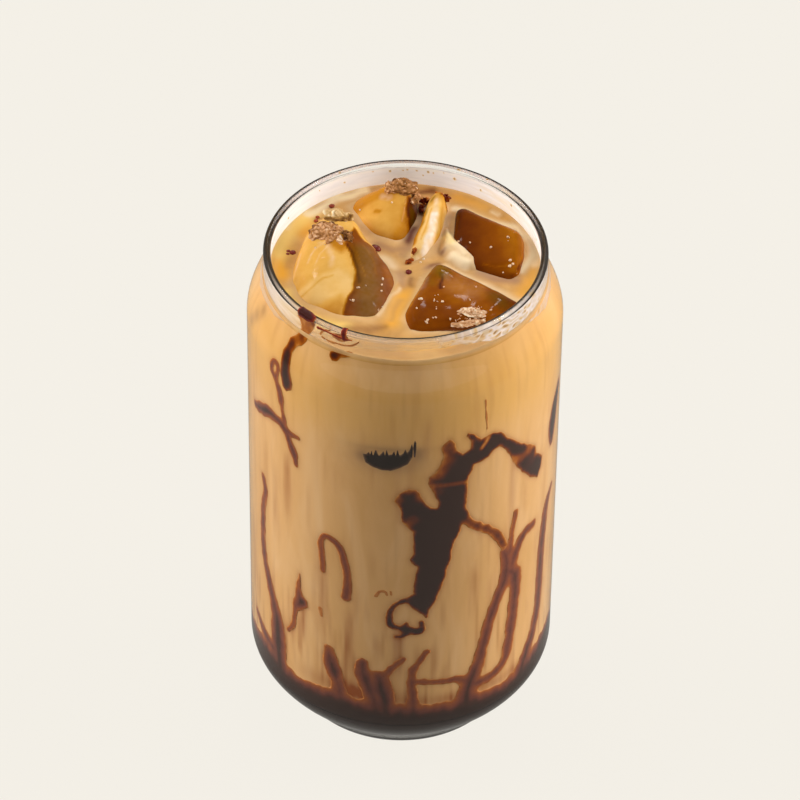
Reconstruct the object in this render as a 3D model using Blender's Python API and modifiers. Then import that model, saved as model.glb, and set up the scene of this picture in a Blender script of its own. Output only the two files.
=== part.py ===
"""Iced mocha in a can-shaped glass: milky coffee, five lumps of ice and chocolate syrup
that lies as a pool on the glass's floor and runs up and down the inside of its wall.

The origin is on the table, in the middle of the foot. +Z is up, the front is -Y and +X is right.
"""
import bpy
import bmesh
from math import acos, cos, pi, radians, sin
from mathutils import Vector

MM = 0.001

# Driving dimensions of the glass
GLASS_HEIGHT = 133 * MM
BODY_RADIUS = 36.15 * MM
WALL = 2.2 * MM
FOOT_RADIUS = 26.2 * MM
FOOT_RING_INNER = 21.5 * MM
FOOT_RING_OUTER = 24.8 * MM
FOOT_EDGE_HEIGHT = 1.2 * MM
BASE_CURVE_TOP = 17.5 * MM
BASE_CURVE_POWER = 1.2
PUNT_DEPTH = 1.4 * MM
FLOOR_HEIGHT = 7.0 * MM
FLOOR_FLAT_RADIUS = 20 * MM
FLOOR_CURVE_TOP = 18.5 * MM
SHOULDER_FOOT = 115 * MM
SHOULDER_TOP = 130 * MM
NECK_OUTER = 32.1 * MM
NECK_INNER = 30.6 * MM
LIP_OUTER = 32.3 * MM

# Driving dimensions of what fills it
GAP = 0.3 * MM
DRINK_LEVEL = 126 * MM
POOL_TOP = 20 * MM
RUN_THICKNESS = 1.2 * MM
POOL_RUN_SETBACK = 0.15 * MM
RUN_CUT_OUTWARD = 3 * GAP
ICE_DEPTH = 14 * MM
ICE_TAPER = 0.88
ICE_SHOULDER = 0.5 * MM
ICE_CHAMFER = 1.2 * MM
ICE_FLAT_ANGLE = radians(6)
ICE_CUT_GROWTH = 1.3 * GAP
DROP_FLATNESS = 0.45

# Every round surface has the same number of sides, so that neighbours' facets lie parallel
SIDES = 60
SIDE_ANGLE = 2 * pi / SIDES
BASE_STEPS = 6
FLOOR_STEPS = 5
SHOULDER_STEPS = 6
LIP_STEPS = 4
END_STEPS = 2
WRAP_RADIUS = BODY_RADIUS - WALL - GAP

# Fineness of the meshes
MERGE = 0.01 * MM
CUT_REACH = 0.02 * MM
FLAT_ANGLE = radians(1)
SHARP_ANGLE = radians(30)

# Runs of syrup on the wall: degrees round from the front (+ to the right), height and width in mm
FRONT_RUNS = [
    [(58, 83, 7), (53, 89, 7), (46, 95.5, 5), (38, 100.5, 4), (32, 100, 4.5), (26, 98.5, 5.5),
     (21, 95.5, 7.5), (18, 91, 8.5), (17, 86, 8.5), (15, 81, 9.5), (12.5, 76, 10), (11.5, 70, 8.5),
     (11, 64, 6.5), (9, 56, 4.5), (7, 51.5, 3)],
    [(0, 89, 4), (6, 84, 6), (12, 78, 5)],
    [(17, 104.5, 3), (16.5, 100.5, 3), (17, 95, 4)],
    [(25, 105, 1.2), (27, 103, 1.4), (31, 100, 2)],
    [(5, 54.5, 2.2), (0, 55.5, 1.4), (-3.5, 53.5, 1.4), (-4.5, 50, 1.6), (-2.5, 47.5, 1.4), (2, 46.5, 1.6),
     (6.5, 46.5, 2), (8, 48.5, 1.6)],
    [(20, 83.5, 3), (25.5, 78.5, 2), (30, 75.5, 2.2), (35, 73, 2), (39.5, 69, 2.1), (42, 65.5, 2.1)],
]
POOL_RUNS = [
    [(42.8, 62.9, 2), (44, 59, 3), (43, 54, 3.4), (39.5, 49.5, 2.7), (35.5, 42, 2.6), (32.5, 33.5, 2.7),
     (30, 28.5, 3.4), (27, 23, 4), (26.5, 16, 4)],
    [(44, 57, 2.6), (48.5, 54, 3.4), (49, 48, 3.1), (47.5, 39.5, 2.8), (46, 31.5, 2.6), (43.5, 27, 2.4),
     (38, 25, 2.2), (31, 24.5, 2.4)],
    [(46.5, 57.5, 2.6), (49.5, 62, 2.4), (53.5, 65, 2.4), (59, 65.2, 2)],
    [(45, 60, 1.2), (46.5, 69, 1), (48, 74, 0.9)],
    [(75, 69, 1.6), (70.5, 66, 2.4), (68, 59, 3), (66.5, 50, 3.2), (65.5, 37, 2.8), (62, 29, 2.9),
     (57, 23.5, 3.6), (52, 16, 4)],
    [(5.5, 29.5, 1.1), (15.5, 28.5, 1.1), (23, 28, 1.5), (29, 25, 2)],
    [(4.8, 33.5, 0.9), (4.5, 29, 1.4), (5, 24.5, 1.8), (5.5, 16, 2.4)],
    [(4.5, 32.5, 0.9), (7.5, 36, 0.9), (10, 39, 0.9)],
    [(-65, 76, 1.5), (-63.5, 72, 1.5), (-65.5, 66, 1.6), (-66, 58, 1.9), (-65, 51.5, 2.1), (-62, 46, 2.3),
     (-58.5, 40.5, 2.9), (-56, 36, 3.9), (-55, 29.5, 5.2), (-54.5, 24, 4.6), (-53, 16, 4.6)],
    [(-73, 28.5, 1.6), (-66.5, 26, 2.4), (-59, 24, 3.4)],
    [(-28.5, 36, 1.6), (-28, 33, 3.3), (-26.5, 29.5, 3.7), (-24.5, 25, 2.4), (-23, 16, 2.6)],
    [(-14.5, 34.5, 2.2), (-14.5, 31.5, 3.4), (-12.5, 27.5, 3.4), (-10, 23, 3.2), (-8, 16, 4)],
    [(-8, 30.5, 3.2), (-7, 26.5, 4.6), (-5.5, 22, 3.6), (-5, 16, 4)],
    [(-7.5, 30, 1.6), (-3, 34, 1.1), (1, 37, 0.8)],
]
NECK_RUN = [
    [(-44, 129.8, 4.4), (-45, 127.5, 3), (-46, 125, 2.2), (-48, 122.5, 2.4), (-50, 119.5, 2.3),
     (-50.5, 116, 2.4), (-50, 113, 2.8), (-47.5, 110.5, 2.8)],
]
LEFT_RUNS = [
    [(-72, 95, 1.6), (-67.5, 96.2, 2.6), (-61, 98.3, 3.2), (-55, 99, 2.1), (-50.5, 98, 1.8),
     (-47.5, 95.5, 1.7), (-45, 92.5, 1.9), (-44, 89.5, 0.9)],
    [(-51, 98.2, 1.4), (-47, 97.8, 0.9), (-43, 98, 0.7)],
    [(-57.5, 114.5, 0.9), (-55.2, 111.4, 1.1), (-53.3, 109.2, 1.8), (-52, 106.5, 1.7),
     (-51.3, 103.5, 0.8), (-50.3, 101, 0.8), (-50, 98, 1)],
]
LOOP_RUN = [
    [(-31.2, 60.5, 0.9), (-31.6, 66, 1.1), (-32, 69.5, 1.1), (-30.3, 71.7, 1.1), (-27.3, 71.5, 1.3),
     (-24, 69.7, 1.4), (-22, 65.4, 1.4), (-20.7, 59.5, 1.4), (-21.3, 54.5, 2)],
]
TEAR_RUN = [
    [(-42.7, 55.5, 0.9), (-43.5, 50, 2.5), (-43, 46, 2.6), (-45, 42, 1.4), (-46, 37.5, 1.3)],
    [(-43, 46.5, 1.5), (-38.5, 46.5, 1.1)],
]
SIDE_RUN = [
    [(80, 98, 3), (75.5, 93.5, 4.4), (73.5, 88.5, 4.4), (73, 84, 1.6)],
]
RIM_DRIP_RUN = [
    [(-31, 124.2, 1.8), (-27, 124.7, 0.9), (-22.5, 125.2, 0.7)],
]

# Ice, in mm: the outline at the drink's surface, then the corners that stand out of the drink
ICE_LEFT = [(-24.3, 3.2), (-26.6, -5), (-23.5, -12.5), (-14.4, -17), (-7.4, -18), (-5.2, -16.2),
            (-1.5, -3.3), (-6.8, 6.6), (-12, 16.2), (-19.3, 17), (-23.3, 9.5)]
ICE_LEFT_CREST = [(-14.5, 4.4, 131.6), (-13, 14.8, 130), (-19, 15, 130), (-22, 8.2, 130),
                  (-11.6, -3.4, 129.5), (-20.5, -4, 129), (-16, -12.5, 127.8), (-7.5, -14.5, 127.4),
                  (-3.5, -4, 127.2)]
ICE_BACK = [(-13.6, 23), (-10.5, 17.5), (-7, 12.5), (-1.6, 10.5), (1, 13.1), (2.6, 21.5), (2, 26.5),
            (-4.5, 27.3), (-10, 26)]
ICE_BACK_CREST = [(-9.5, 23.5, 129), (-4.3, 25, 131.5), (-1.1, 25.2, 132), (1.6, 24, 130.5),
                  (-6.5, 14, 127.4), (-1.5, 12, 127.4)]
ICE_SHARD = [(5, 24.6), (9.6, 23.4), (8.9, 17.8), (7.1, 10.7), (4.2, 5.2), (0.6, 4.6), (2, 8.5), (4, 18)]
ICE_SHARD_CREST = [(6.3, 23.2, 130.6), (8.6, 22.4, 130.6), (7.2, 16, 129.4), (5.4, 9.5, 128.3),
                   (2.8, 6, 127.2)]
ICE_RIGHT = [(11.8, 22.4), (27, 11), (26.8, 4.5), (24.6, -0.9), (16, 1), (14.6, 6), (10.9, 12)]
ICE_RIGHT_CREST = [(12.2, 21.4, 128.2), (26.2, 10.8, 129.6), (26, 4.8, 128.6), (24, 0, 127.4),
                   (16.4, 1.8, 127), (11.6, 12.6, 127.2)]
ICE_FRONT = [(4.9, -1.6), (7.8, 2), (11.4, 0.3), (25.4, -11.2), (22.6, -16.8), (19, -19.1), (7.9, -21.3),
             (2, -21.1), (-0.5, -16.7)]
ICE_FRONT_CREST = [(5.6, -2.2, 127.4), (8, 1, 127.4), (24.4, -11.4, 127.6), (18.6, -18.2, 127.6),
                   (2.4, -20.2, 127.4), (0.4, -16.6, 127.4)]

# Drops of syrup lying on the drink, in mm: across, back and radius
DROPS = [(-27.2, 6.6, 1.1), (-17.1, 22.7, 0.8), (-20.6, 19.2, 1.0), (-6.2, 9.2, 1.2), (0.8, -0.2, 0.9),
         (8, 4.6, 0.9)]


def smooth_step(t):
    """Rise from 0 to 1 that starts and ends level."""
    return 0.5 - 0.5 * cos(pi * min(max(t, 0), 1))


def shoulder(height, below, above):
    """Radius at a height that passes from the body's radius to the neck's."""
    t = (height - SHOULDER_FOOT) / (SHOULDER_TOP - SHOULDER_FOOT)
    return below + (above - below) * smooth_step(t)


def contents_radius(height):
    """Radius that the contents reach at a height, a gap inside the glass."""
    outermost = BODY_RADIUS - WALL - GAP
    curve_top = FLOOR_CURVE_TOP + GAP
    if height < curve_top:
        turn = acos(min((curve_top - height) / (FLOOR_CURVE_TOP - FLOOR_HEIGHT), 1))
        return FLOOR_FLAT_RADIUS + (outermost - FLOOR_FLAT_RADIUS) * sin(turn)
    return shoulder(height, outermost, NECK_INNER - GAP)


def steps(start, end, count):
    """Evenly spaced values from start to end, both included."""
    return [start + (end - start) * i / count for i in range(count + 1)]


FLOOR_RINGS = [
    FLOOR_CURVE_TOP + GAP - (FLOOR_CURVE_TOP - FLOOR_HEIGHT) * cos(turn)
    for turn in steps(0, pi / 2, FLOOR_STEPS)
]
SHOULDER_RINGS = steps(SHOULDER_FOOT, SHOULDER_TOP, SHOULDER_STEPS)


def principled(name, colour, roughness, transmission=0.0, ior=1.45):
    """Material with a plain colour."""
    material = bpy.data.materials.new(name)
    material.use_nodes = True
    shader = material.node_tree.nodes["Principled BSDF"]
    shader.inputs["Base Color"].default_value = (*colour, 1)
    shader.inputs["Roughness"].default_value = roughness
    shader.inputs["Metallic"].default_value = 0.0
    shader.inputs["Transmission Weight"].default_value = transmission
    shader.inputs["IOR"].default_value = ior
    return material


def new_object(name, data, collection, material=None):
    """Object with its data, linked to a collection."""
    piece = bpy.data.objects.new(name, data)
    collection.objects.link(piece)
    if material:
        data.materials.append(material)
    return piece


def as_cutter(piece):
    """Mark an object as a cutter, which isn't part of the model."""
    piece.hide_render = True
    piece.display_type = "WIRE"
    return piece


def evaluated_mesh(piece, name):
    """Mesh of an object with its modifiers applied, smooth but for its sharp edges."""
    bpy.context.view_layer.update()
    mesh = bpy.data.meshes.new_from_object(piece.evaluated_get(bpy.context.evaluated_depsgraph_get()))
    mesh.name = name
    mesh.shade_smooth()
    mesh.set_sharp_from_angle(angle=SHARP_ANGLE)
    return mesh


def apply_modifiers(piece):
    """Give an object the mesh that its modifiers make."""
    mesh = evaluated_mesh(piece, piece.name)
    piece.modifiers.clear()
    piece.data = mesh


def boolean(piece, operation, collection):
    """Cut an object by a collection, or join the collection to it."""
    modifier = piece.modifiers.new(operation.title(), "BOOLEAN")
    modifier.operation = operation
    modifier.operand_type = "COLLECTION"
    modifier.collection = collection
    modifier.solver = "EXACT"


def turned(name, profile, collection, material):
    """Body turned from a profile of (radius, height) that runs down its outer side."""
    mesh = bpy.data.meshes.new(name)
    mesh.from_pydata([(r, 0, z) for r, z in profile], [(i, i + 1) for i in range(len(profile) - 1)], [])
    piece = new_object(name, mesh, collection, material)
    screw = piece.modifiers.new("Turn", "SCREW")
    screw.axis = "Z"
    screw.angle = 2 * pi
    screw.steps = SIDES
    screw.render_steps = SIDES
    screw.use_merge_vertices = True
    screw.merge_threshold = MERGE
    screw.use_smooth_shade = True
    return piece


def glass_profile():
    """Section of the glass: from the middle of its floor up the inside, over the lip, down the outside."""
    inner = BODY_RADIUS - WALL
    profile = [(0, FLOOR_HEIGHT)]
    for turn in steps(0, pi / 2, FLOOR_STEPS):
        radius = FLOOR_FLAT_RADIUS + (inner - FLOOR_FLAT_RADIUS) * sin(turn)
        profile.append((radius, FLOOR_CURVE_TOP - (FLOOR_CURVE_TOP - FLOOR_HEIGHT) * cos(turn)))
    for height in SHOULDER_RINGS:
        profile.append((shoulder(height, inner, NECK_INNER), height))
    lip_radius = (LIP_OUTER - NECK_INNER) / 2
    lip_across = NECK_INNER + lip_radius
    lip_up = GLASS_HEIGHT - lip_radius
    for turn in steps(pi, 0, LIP_STEPS):
        profile.append((lip_across + lip_radius * cos(turn), lip_up + lip_radius * sin(turn)))
    for height in reversed(SHOULDER_RINGS):
        profile.append((shoulder(height, BODY_RADIUS, NECK_OUTER), height))
    for t in steps(1, 0, BASE_STEPS):
        radius = FOOT_RADIUS + (BODY_RADIUS - FOOT_RADIUS) * sin(pi / 2 * t) ** BASE_CURVE_POWER
        profile.append((radius, FOOT_EDGE_HEIGHT + (BASE_CURVE_TOP - FOOT_EDGE_HEIGHT) * t))
    profile.append((FOOT_RING_OUTER, 0))
    profile.append((FOOT_RING_INNER, 0))
    profile.append((0, PUNT_DEPTH))
    return profile


def round_end(forward, turn):
    """Way from a run's end to a point of its round tip, a quarter turn being straight ahead."""
    return forward * sin(turn) + Vector((-forward.y, forward.x)) * cos(turn)


def run_outline(points, grow):
    """Flat outline of one run of syrup: its two edges, with a round end at each end."""
    middle = [Vector((radians(turn) * WRAP_RADIUS, height * MM)) for turn, height, width in points]
    half = [width * MM / 2 + grow for turn, height, width in points]
    ahead = []
    for i in range(len(middle)):
        ahead.append((middle[min(i + 1, len(middle) - 1)] - middle[max(i - 1, 0)]).normalized())
    left = []
    right = []
    for centre, forward, reach in zip(middle, ahead, half):
        aside = Vector((-forward.y, forward.x)) * reach
        left.append(centre + aside)
        right.append(centre - aside)
    first = []
    last = []
    for turn in steps(pi / 4, 3 * pi / 4, END_STEPS):
        first.append(middle[0] - round_end(ahead[0], turn) * half[0])
        last.append(middle[-1] + round_end(ahead[-1], turn) * half[-1])
    return first + left + last + right[::-1]


def flat_run(name, points, near, far, grow, collection):
    """One run of syrup unrolled flat: x is the way round the wall, y the height and z the depth."""
    curve = bpy.data.curves.new(name, "CURVE")
    curve.dimensions = "2D"
    curve.fill_mode = "BOTH"
    curve.extrude = (far - near) / 2
    outline = run_outline(points, grow)
    spline = curve.splines.new("POLY")
    spline.points.add(len(outline) - 1)
    for point, place in zip(spline.points, outline):
        point.co = (place.x, place.y, 0, 1)
    spline.use_cyclic_u = True
    drawn = new_object(name, curve, collection)
    mesh = evaluated_mesh(drawn, name)
    bpy.data.objects.remove(drawn)
    shape = bmesh.new()
    shape.from_mesh(mesh)
    bmesh.ops.remove_doubles(shape, verts=shape.verts, dist=MERGE)
    bmesh.ops.translate(shape, verts=shape.verts, vec=(0, 0, (far + near) / 2))
    bmesh.ops.recalc_face_normals(shape, faces=shape.faces)
    shape.to_mesh(mesh)
    shape.free()
    return new_object(name, mesh, collection)


def wrap_on_wall(mesh):
    """Bend a flat run round the inside of the glass, with an edge at each of the wall's corners.

    Depth then points to the glass's axis instead of out of the flat run, which mirrors the run, so its
    faces are reversed.
    """
    shape = bmesh.new()
    shape.from_mesh(mesh)
    bmesh.ops.dissolve_limit(shape, angle_limit=FLAT_ANGLE, verts=shape.verts, edges=shape.edges)
    ways = [v.co.x for v in shape.verts]
    first = int(min(ways) / (SIDE_ANGLE * WRAP_RADIUS)) - 1
    last = int(max(ways) / (SIDE_ANGLE * WRAP_RADIUS)) + 1
    cuts = [((i * SIDE_ANGLE * WRAP_RADIUS, 0, 0), (1, 0, 0)) for i in range(first, last + 1)]
    cuts += [((0, height, 0), (0, 1, 0)) for height in FLOOR_RINGS + SHOULDER_RINGS]
    for place, normal in cuts:
        everything = shape.verts[:] + shape.edges[:] + shape.faces[:]
        bmesh.ops.bisect_plane(shape, geom=everything, dist=CUT_REACH, plane_co=place, plane_no=normal)
    bmesh.ops.triangulate(shape, faces=shape.faces)
    for vert in shape.verts:
        turn = vert.co.x / WRAP_RADIUS
        height = vert.co.y
        radius = contents_radius(height) - vert.co.z
        vert.co = (radius * sin(turn), -radius * cos(turn), height)
    bmesh.ops.reverse_faces(shape, faces=shape.faces)
    shape.to_mesh(mesh)
    shape.free()


def syrup_on_wall(name, runs, collection, material=None, near=0.0, far=RUN_THICKNESS, grow=0.0):
    """Runs of syrup joined into one body and bent round the wall."""
    others = bpy.data.collections.new("runs")
    bpy.context.scene.collection.children.link(others)
    pieces = [flat_run(name, points, near, far, grow, others) for points in runs]
    joined = pieces[0]
    others.objects.unlink(joined)
    collection.objects.link(joined)
    if len(pieces) > 1:
        boolean(joined, "UNION", others)
    mesh = evaluated_mesh(joined, name)
    for piece in pieces:
        bpy.data.objects.remove(piece)
    bpy.data.collections.remove(others)
    wrap_on_wall(mesh)
    return new_object(name, mesh, collection, material)


def wrap_in_hull(shape):
    """Keep only the convex hull of a shape's points, with each flat side as one face."""
    bmesh.ops.delete(shape, geom=shape.edges, context="EDGES_FACES")
    hull = bmesh.ops.convex_hull(shape, input=shape.verts)
    inside = [item for item in hull["geom_interior"] if isinstance(item, bmesh.types.BMVert)]
    bmesh.ops.delete(shape, geom=inside, context="VERTS")
    bmesh.ops.recalc_face_normals(shape, faces=shape.faces)


def ice_lump(name, outline, crest, collection, material=None, grow=0.0):
    """Half-melted lump of ice: the hull of its corners, narrower below, with worn edges."""
    centre = sum((Vector(corner) for corner in outline), Vector((0, 0))) / len(outline)
    shape = bmesh.new()
    for corner in crest:
        shape.verts.new(Vector(corner) * MM)
    for corner in outline:
        low = centre + (Vector(corner) - centre) * ICE_TAPER
        shape.verts.new((corner[0] * MM, corner[1] * MM, DRINK_LEVEL - ICE_SHOULDER))
        shape.verts.new((low.x * MM, low.y * MM, DRINK_LEVEL - ICE_DEPTH))
    wrap_in_hull(shape)
    bmesh.ops.dissolve_limit(shape, angle_limit=ICE_FLAT_ANGLE, verts=shape.verts, edges=shape.edges)
    bmesh.ops.bevel(shape, geom=shape.edges, offset=ICE_CHAMFER, segments=1, profile=0.5, affect="EDGES")
    wrap_in_hull(shape)
    shape.normal_update()
    for vert in shape.verts:
        vert.co += vert.normal * grow
    if grow:
        wrap_in_hull(shape)
    mesh = bpy.data.meshes.new(name)
    shape.to_mesh(mesh)
    shape.free()
    return new_object(name, mesh, collection, material)


def syrup_drop(across, back, radius, collection):
    """Flattened drop of syrup, half sunk in the drink's surface."""
    shape = bmesh.new()
    bmesh.ops.create_icosphere(shape, subdivisions=2, radius=radius * MM)
    bmesh.ops.scale(shape, verts=shape.verts, vec=(1, 1, DROP_FLATNESS))
    bmesh.ops.translate(shape, verts=shape.verts, vec=(across * MM, back * MM, DRINK_LEVEL))
    mesh = bpy.data.meshes.new("drop")
    shape.to_mesh(mesh)
    shape.free()
    return new_object("drop", mesh, collection)


def drink_profile():
    """Section of the drink, from the middle of its surface out and down the wall to the pool of syrup."""
    bottom = POOL_TOP + GAP
    profile = [(0, DRINK_LEVEL), (contents_radius(DRINK_LEVEL), DRINK_LEVEL)]
    for height in reversed(SHOULDER_RINGS):
        if height < DRINK_LEVEL:
            profile.append((contents_radius(height), height))
    profile.append((contents_radius(bottom), bottom))
    profile.append((0, bottom))
    return profile


def pool_profile():
    """Section of the syrup pool, from the middle of its top out and down to the glass's floor."""
    profile = [(0, POOL_TOP), (contents_radius(POOL_TOP), POOL_TOP)]
    for height in reversed(FLOOR_RINGS):
        profile.append((contents_radius(height), height))
    profile.append((0, FLOOR_RINGS[0]))
    return profile


def main():
    for old in list(bpy.data.objects):
        bpy.data.objects.remove(old)
    scene = bpy.context.scene
    parts = bpy.data.collections.new("iced_mocha")
    cutters = bpy.data.collections.new("cutters")
    fused = bpy.data.collections.new("fused")
    for collection in (parts, cutters, fused):
        scene.collection.children.link(collection)

    glass = principled("clear_glass", (0.93, 0.95, 0.94), 0.02, transmission=0.95, ior=1.52)
    coffee = principled("milky_coffee", (0.50, 0.29, 0.12), 0.25)
    syrup = principled("chocolate_syrup", (0.045, 0.014, 0.006), 0.18)
    ice = principled("ice", (0.55, 0.36, 0.16), 0.08, transmission=0.5, ior=1.31)

    turned("glass", glass_profile(), parts, glass)

    pool = turned("syrup_pool", pool_profile(), parts, syrup)
    syrup_on_wall("pool_runs", POOL_RUNS, fused, near=POOL_RUN_SETBACK)
    boolean(pool, "UNION", fused)
    apply_modifiers(pool)
    for piece in list(fused.objects):
        bpy.data.objects.remove(piece)

    wall_syrup = {
        "syrup_front": FRONT_RUNS,
        "syrup_neck": NECK_RUN,
        "syrup_left": LEFT_RUNS,
        "syrup_loop": LOOP_RUN,
        "syrup_tear": TEAR_RUN,
        "syrup_side": SIDE_RUN,
        "syrup_rim_drip": RIM_DRIP_RUN,
    }
    outside = -RUN_CUT_OUTWARD
    inside = RUN_THICKNESS + GAP
    for name, runs in wall_syrup.items():
        syrup_on_wall(name, runs, parts, syrup)
        as_cutter(syrup_on_wall("cut_" + name, runs, cutters, near=outside, far=inside, grow=GAP))
    as_cutter(syrup_on_wall("cut_pool_runs", POOL_RUNS, cutters, near=outside, far=inside, grow=GAP))

    lumps = {
        "ice_left": (ICE_LEFT, ICE_LEFT_CREST),
        "ice_back": (ICE_BACK, ICE_BACK_CREST),
        "ice_shard": (ICE_SHARD, ICE_SHARD_CREST),
        "ice_right": (ICE_RIGHT, ICE_RIGHT_CREST),
        "ice_front": (ICE_FRONT, ICE_FRONT_CREST),
    }
    for name, (outline, crest) in lumps.items():
        ice_lump(name, outline, crest, parts, ice)
        as_cutter(ice_lump("cut_" + name, outline, crest, cutters, grow=ICE_CUT_GROWTH))

    drink = turned("drink", drink_profile(), parts, coffee)
    boolean(drink, "DIFFERENCE", cutters)
    for across, back, radius in DROPS:
        syrup_drop(across, back, radius, fused)
    boolean(drink, "UNION", fused)
    apply_modifiers(drink)
    for piece in list(fused.objects):
        bpy.data.objects.remove(piece)
    bpy.data.collections.remove(fused)


main()
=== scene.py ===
# %% [markdown]
# # Iced mocha in a can-shaped glass
# A clear glass holds milky coffee, five half-melted lumps of ice and chocolate syrup. The syrup lies as a
# dark pool on the glass's floor and clings to the inside of the wall in runs. This notebook dresses the
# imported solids: it keeps their places and sizes and gives each of them its real surface.

from math import acos, cos, pi, radians, sin, sqrt

import bmesh
import bpy
import numpy as np
from mathutils import Matrix, Vector, noise
from mathutils.bvhtree import BVHTree


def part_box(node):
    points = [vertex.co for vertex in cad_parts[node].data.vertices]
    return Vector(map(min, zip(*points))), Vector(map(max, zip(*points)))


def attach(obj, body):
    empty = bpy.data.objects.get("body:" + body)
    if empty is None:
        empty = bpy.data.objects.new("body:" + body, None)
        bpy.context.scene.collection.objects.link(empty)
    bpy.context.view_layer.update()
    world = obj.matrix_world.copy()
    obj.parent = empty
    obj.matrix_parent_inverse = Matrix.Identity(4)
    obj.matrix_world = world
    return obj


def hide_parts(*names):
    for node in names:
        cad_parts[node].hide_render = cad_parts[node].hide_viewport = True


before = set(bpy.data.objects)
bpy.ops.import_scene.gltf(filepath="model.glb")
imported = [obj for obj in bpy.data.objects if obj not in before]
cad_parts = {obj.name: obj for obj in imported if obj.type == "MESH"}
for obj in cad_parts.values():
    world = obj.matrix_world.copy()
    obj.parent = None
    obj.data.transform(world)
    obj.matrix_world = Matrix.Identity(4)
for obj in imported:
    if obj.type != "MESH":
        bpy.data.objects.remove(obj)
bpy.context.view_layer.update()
MM = 0.001
print("solids:", ", ".join(sorted(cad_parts)))

# %% [markdown]
# ## Camera
# The object stands below eye level: the camera looks down on it by about 42 degrees with a long lens, which
# keeps the wall's sides almost parallel. Distance, lens and aim were worked out from the outline of the
# rim, the body and the foot.

# %% Camera
CAMERA_LIFT = radians(41.63)
CAMERA_ROLL = radians(0.77)
CAMERA_AWAY = 1100 * MM
CAMERA_AIM = Vector((-0.87, 0, 86.95)) * MM
LENS = 212.94

back = Vector((0, -cos(CAMERA_LIFT), sin(CAMERA_LIFT)))
across = Vector((1, 0, 0))
upward = Vector((0, sin(CAMERA_LIFT), cos(CAMERA_LIFT)))
rolled_across = across * cos(CAMERA_ROLL) + upward * sin(CAMERA_ROLL)
rolled_upward = upward * cos(CAMERA_ROLL) - across * sin(CAMERA_ROLL)
camera = bpy.data.objects.new("camera", bpy.data.cameras.new("camera"))
camera.data.lens = LENS
turned = Matrix((rolled_across, rolled_upward, back)).transposed().to_4x4()
camera.matrix_world = Matrix.Translation(CAMERA_AIM + back * CAMERA_AWAY) @ turned
bpy.context.scene.collection.objects.link(camera)
bpy.context.scene.camera = camera
print("camera at", [round(x, 3) for x in camera.location])

# %% [markdown]
# ## Small helpers for materials
# Colours are written as they look on a screen, so one function turns them into the linear light that
# shaders work in. A second one adds a shader node, sets its values and links it in one go. The shapes keep
# numbers on their points, such as how thick the syrup is there. The last two functions read such a number,
# one to make it uneven and one to mix colours by it.

# %% Helpers for materials
def colour(code):
    """Linear colour of an sRGB hex code such as e3b46f."""
    parts = [int(code[i:i + 2], 16) / 255 for i in (0, 2, 4)]
    linear = [p / 12.92 if p <= 0.04045 else ((p + 0.055) / 1.055) ** 2.4 for p in parts]
    return (*linear, 1)


def add(owner, kind, inputs=None, stops=(), **settings):
    """Add a shader node to a material or a world, and return it.

    Settings are its properties, and stops the (position, hex code) pairs of a colour ramp. Inputs are its
    sockets, each a value, an output, or a node that gives its first output."""
    node = owner.node_tree.nodes.new("ShaderNode" + kind)
    for name, value in settings.items():
        setattr(node, name, value)
    for socket, value in (inputs or {}).items():
        if isinstance(value, bpy.types.Node):
            value = value.outputs[0]
        if isinstance(value, bpy.types.NodeSocket):
            owner.node_tree.links.new(value, node.inputs[socket])
        else:
            node.inputs[socket].default_value = value
    if stops:
        elements = node.color_ramp.elements
        while len(elements) < len(stops):
            elements.new(1)
        for element, (position, code) in zip(elements, stops):
            element.position = position
            element.color = colour(code)
    return node


def blank(name):
    """New node material with nothing in it yet."""
    material = bpy.data.materials.new(name)
    material.use_nodes = True
    material.node_tree.nodes.clear()
    return material


def uneven(material, name, amount, place, per_mm, detail, roughness=0.5):
    """A number kept on the points, made uneven by noise with so many grains per mm."""
    cloud = add(material, "TexNoise", {"Vector": place, "Scale": per_mm / MM, "Detail": detail,
                                       "Roughness": roughness})
    wave = add(material, "Math", {0: cloud, 1: 0.5}, operation="SUBTRACT")
    number = add(material, "Attribute", attribute_name=name).outputs["Fac"]
    return add(material, "Math", {0: wave, 1: amount, 2: number}, operation="MULTIPLY_ADD")


def mix_tones(material, body, tones):
    """Mix the colour of each tone into a body colour, by the number of the same name on the points."""
    for name, code in tones.items():
        share = add(material, "Attribute", attribute_name=name).outputs["Fac"]
        body = add(material, "Mix", {0: share, 6: body, 7: colour(code)}, data_type="RGBA").outputs[2]
    return body


# %% [markdown]
# ## Floor and light
# The glass stands on a plain cream table. Two large soft lamps stand beside it, a little behind, so that
# the sides of the body are brighter than its middle. One above and behind lights the drink's surface and
# the ice, and a weak one in front opens the shadows. The large ones don't show in the glass. Three small
# ones do, and the sparkles on the glass and the wet ice are theirs, so they move as they should when the
# view turns. Only a few thin highlights on the ice are painted.
#
# A real table is lit unevenly and fades into a dim room, but this one has no edge and no shade. So what the
# glass bends or mirrors is limited, alike from every side: it finds the table only as far as half a metre
# away, the table's mirror image is a third as bright, and the cream backdrop is half as bright.

# %% Floor and light
FLOOR_SIZE = 12.0
FLOOR_DROP = 0.15 * MM
CREAM = "f5f1e8"
TABLE_REACH = (0.3, 0.5)
TABLE_MIRRORED = 0.33
ROOM_MIRRORED = 0.5
LAMP_AIM = Vector((0, 0, 90)) * MM


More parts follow.
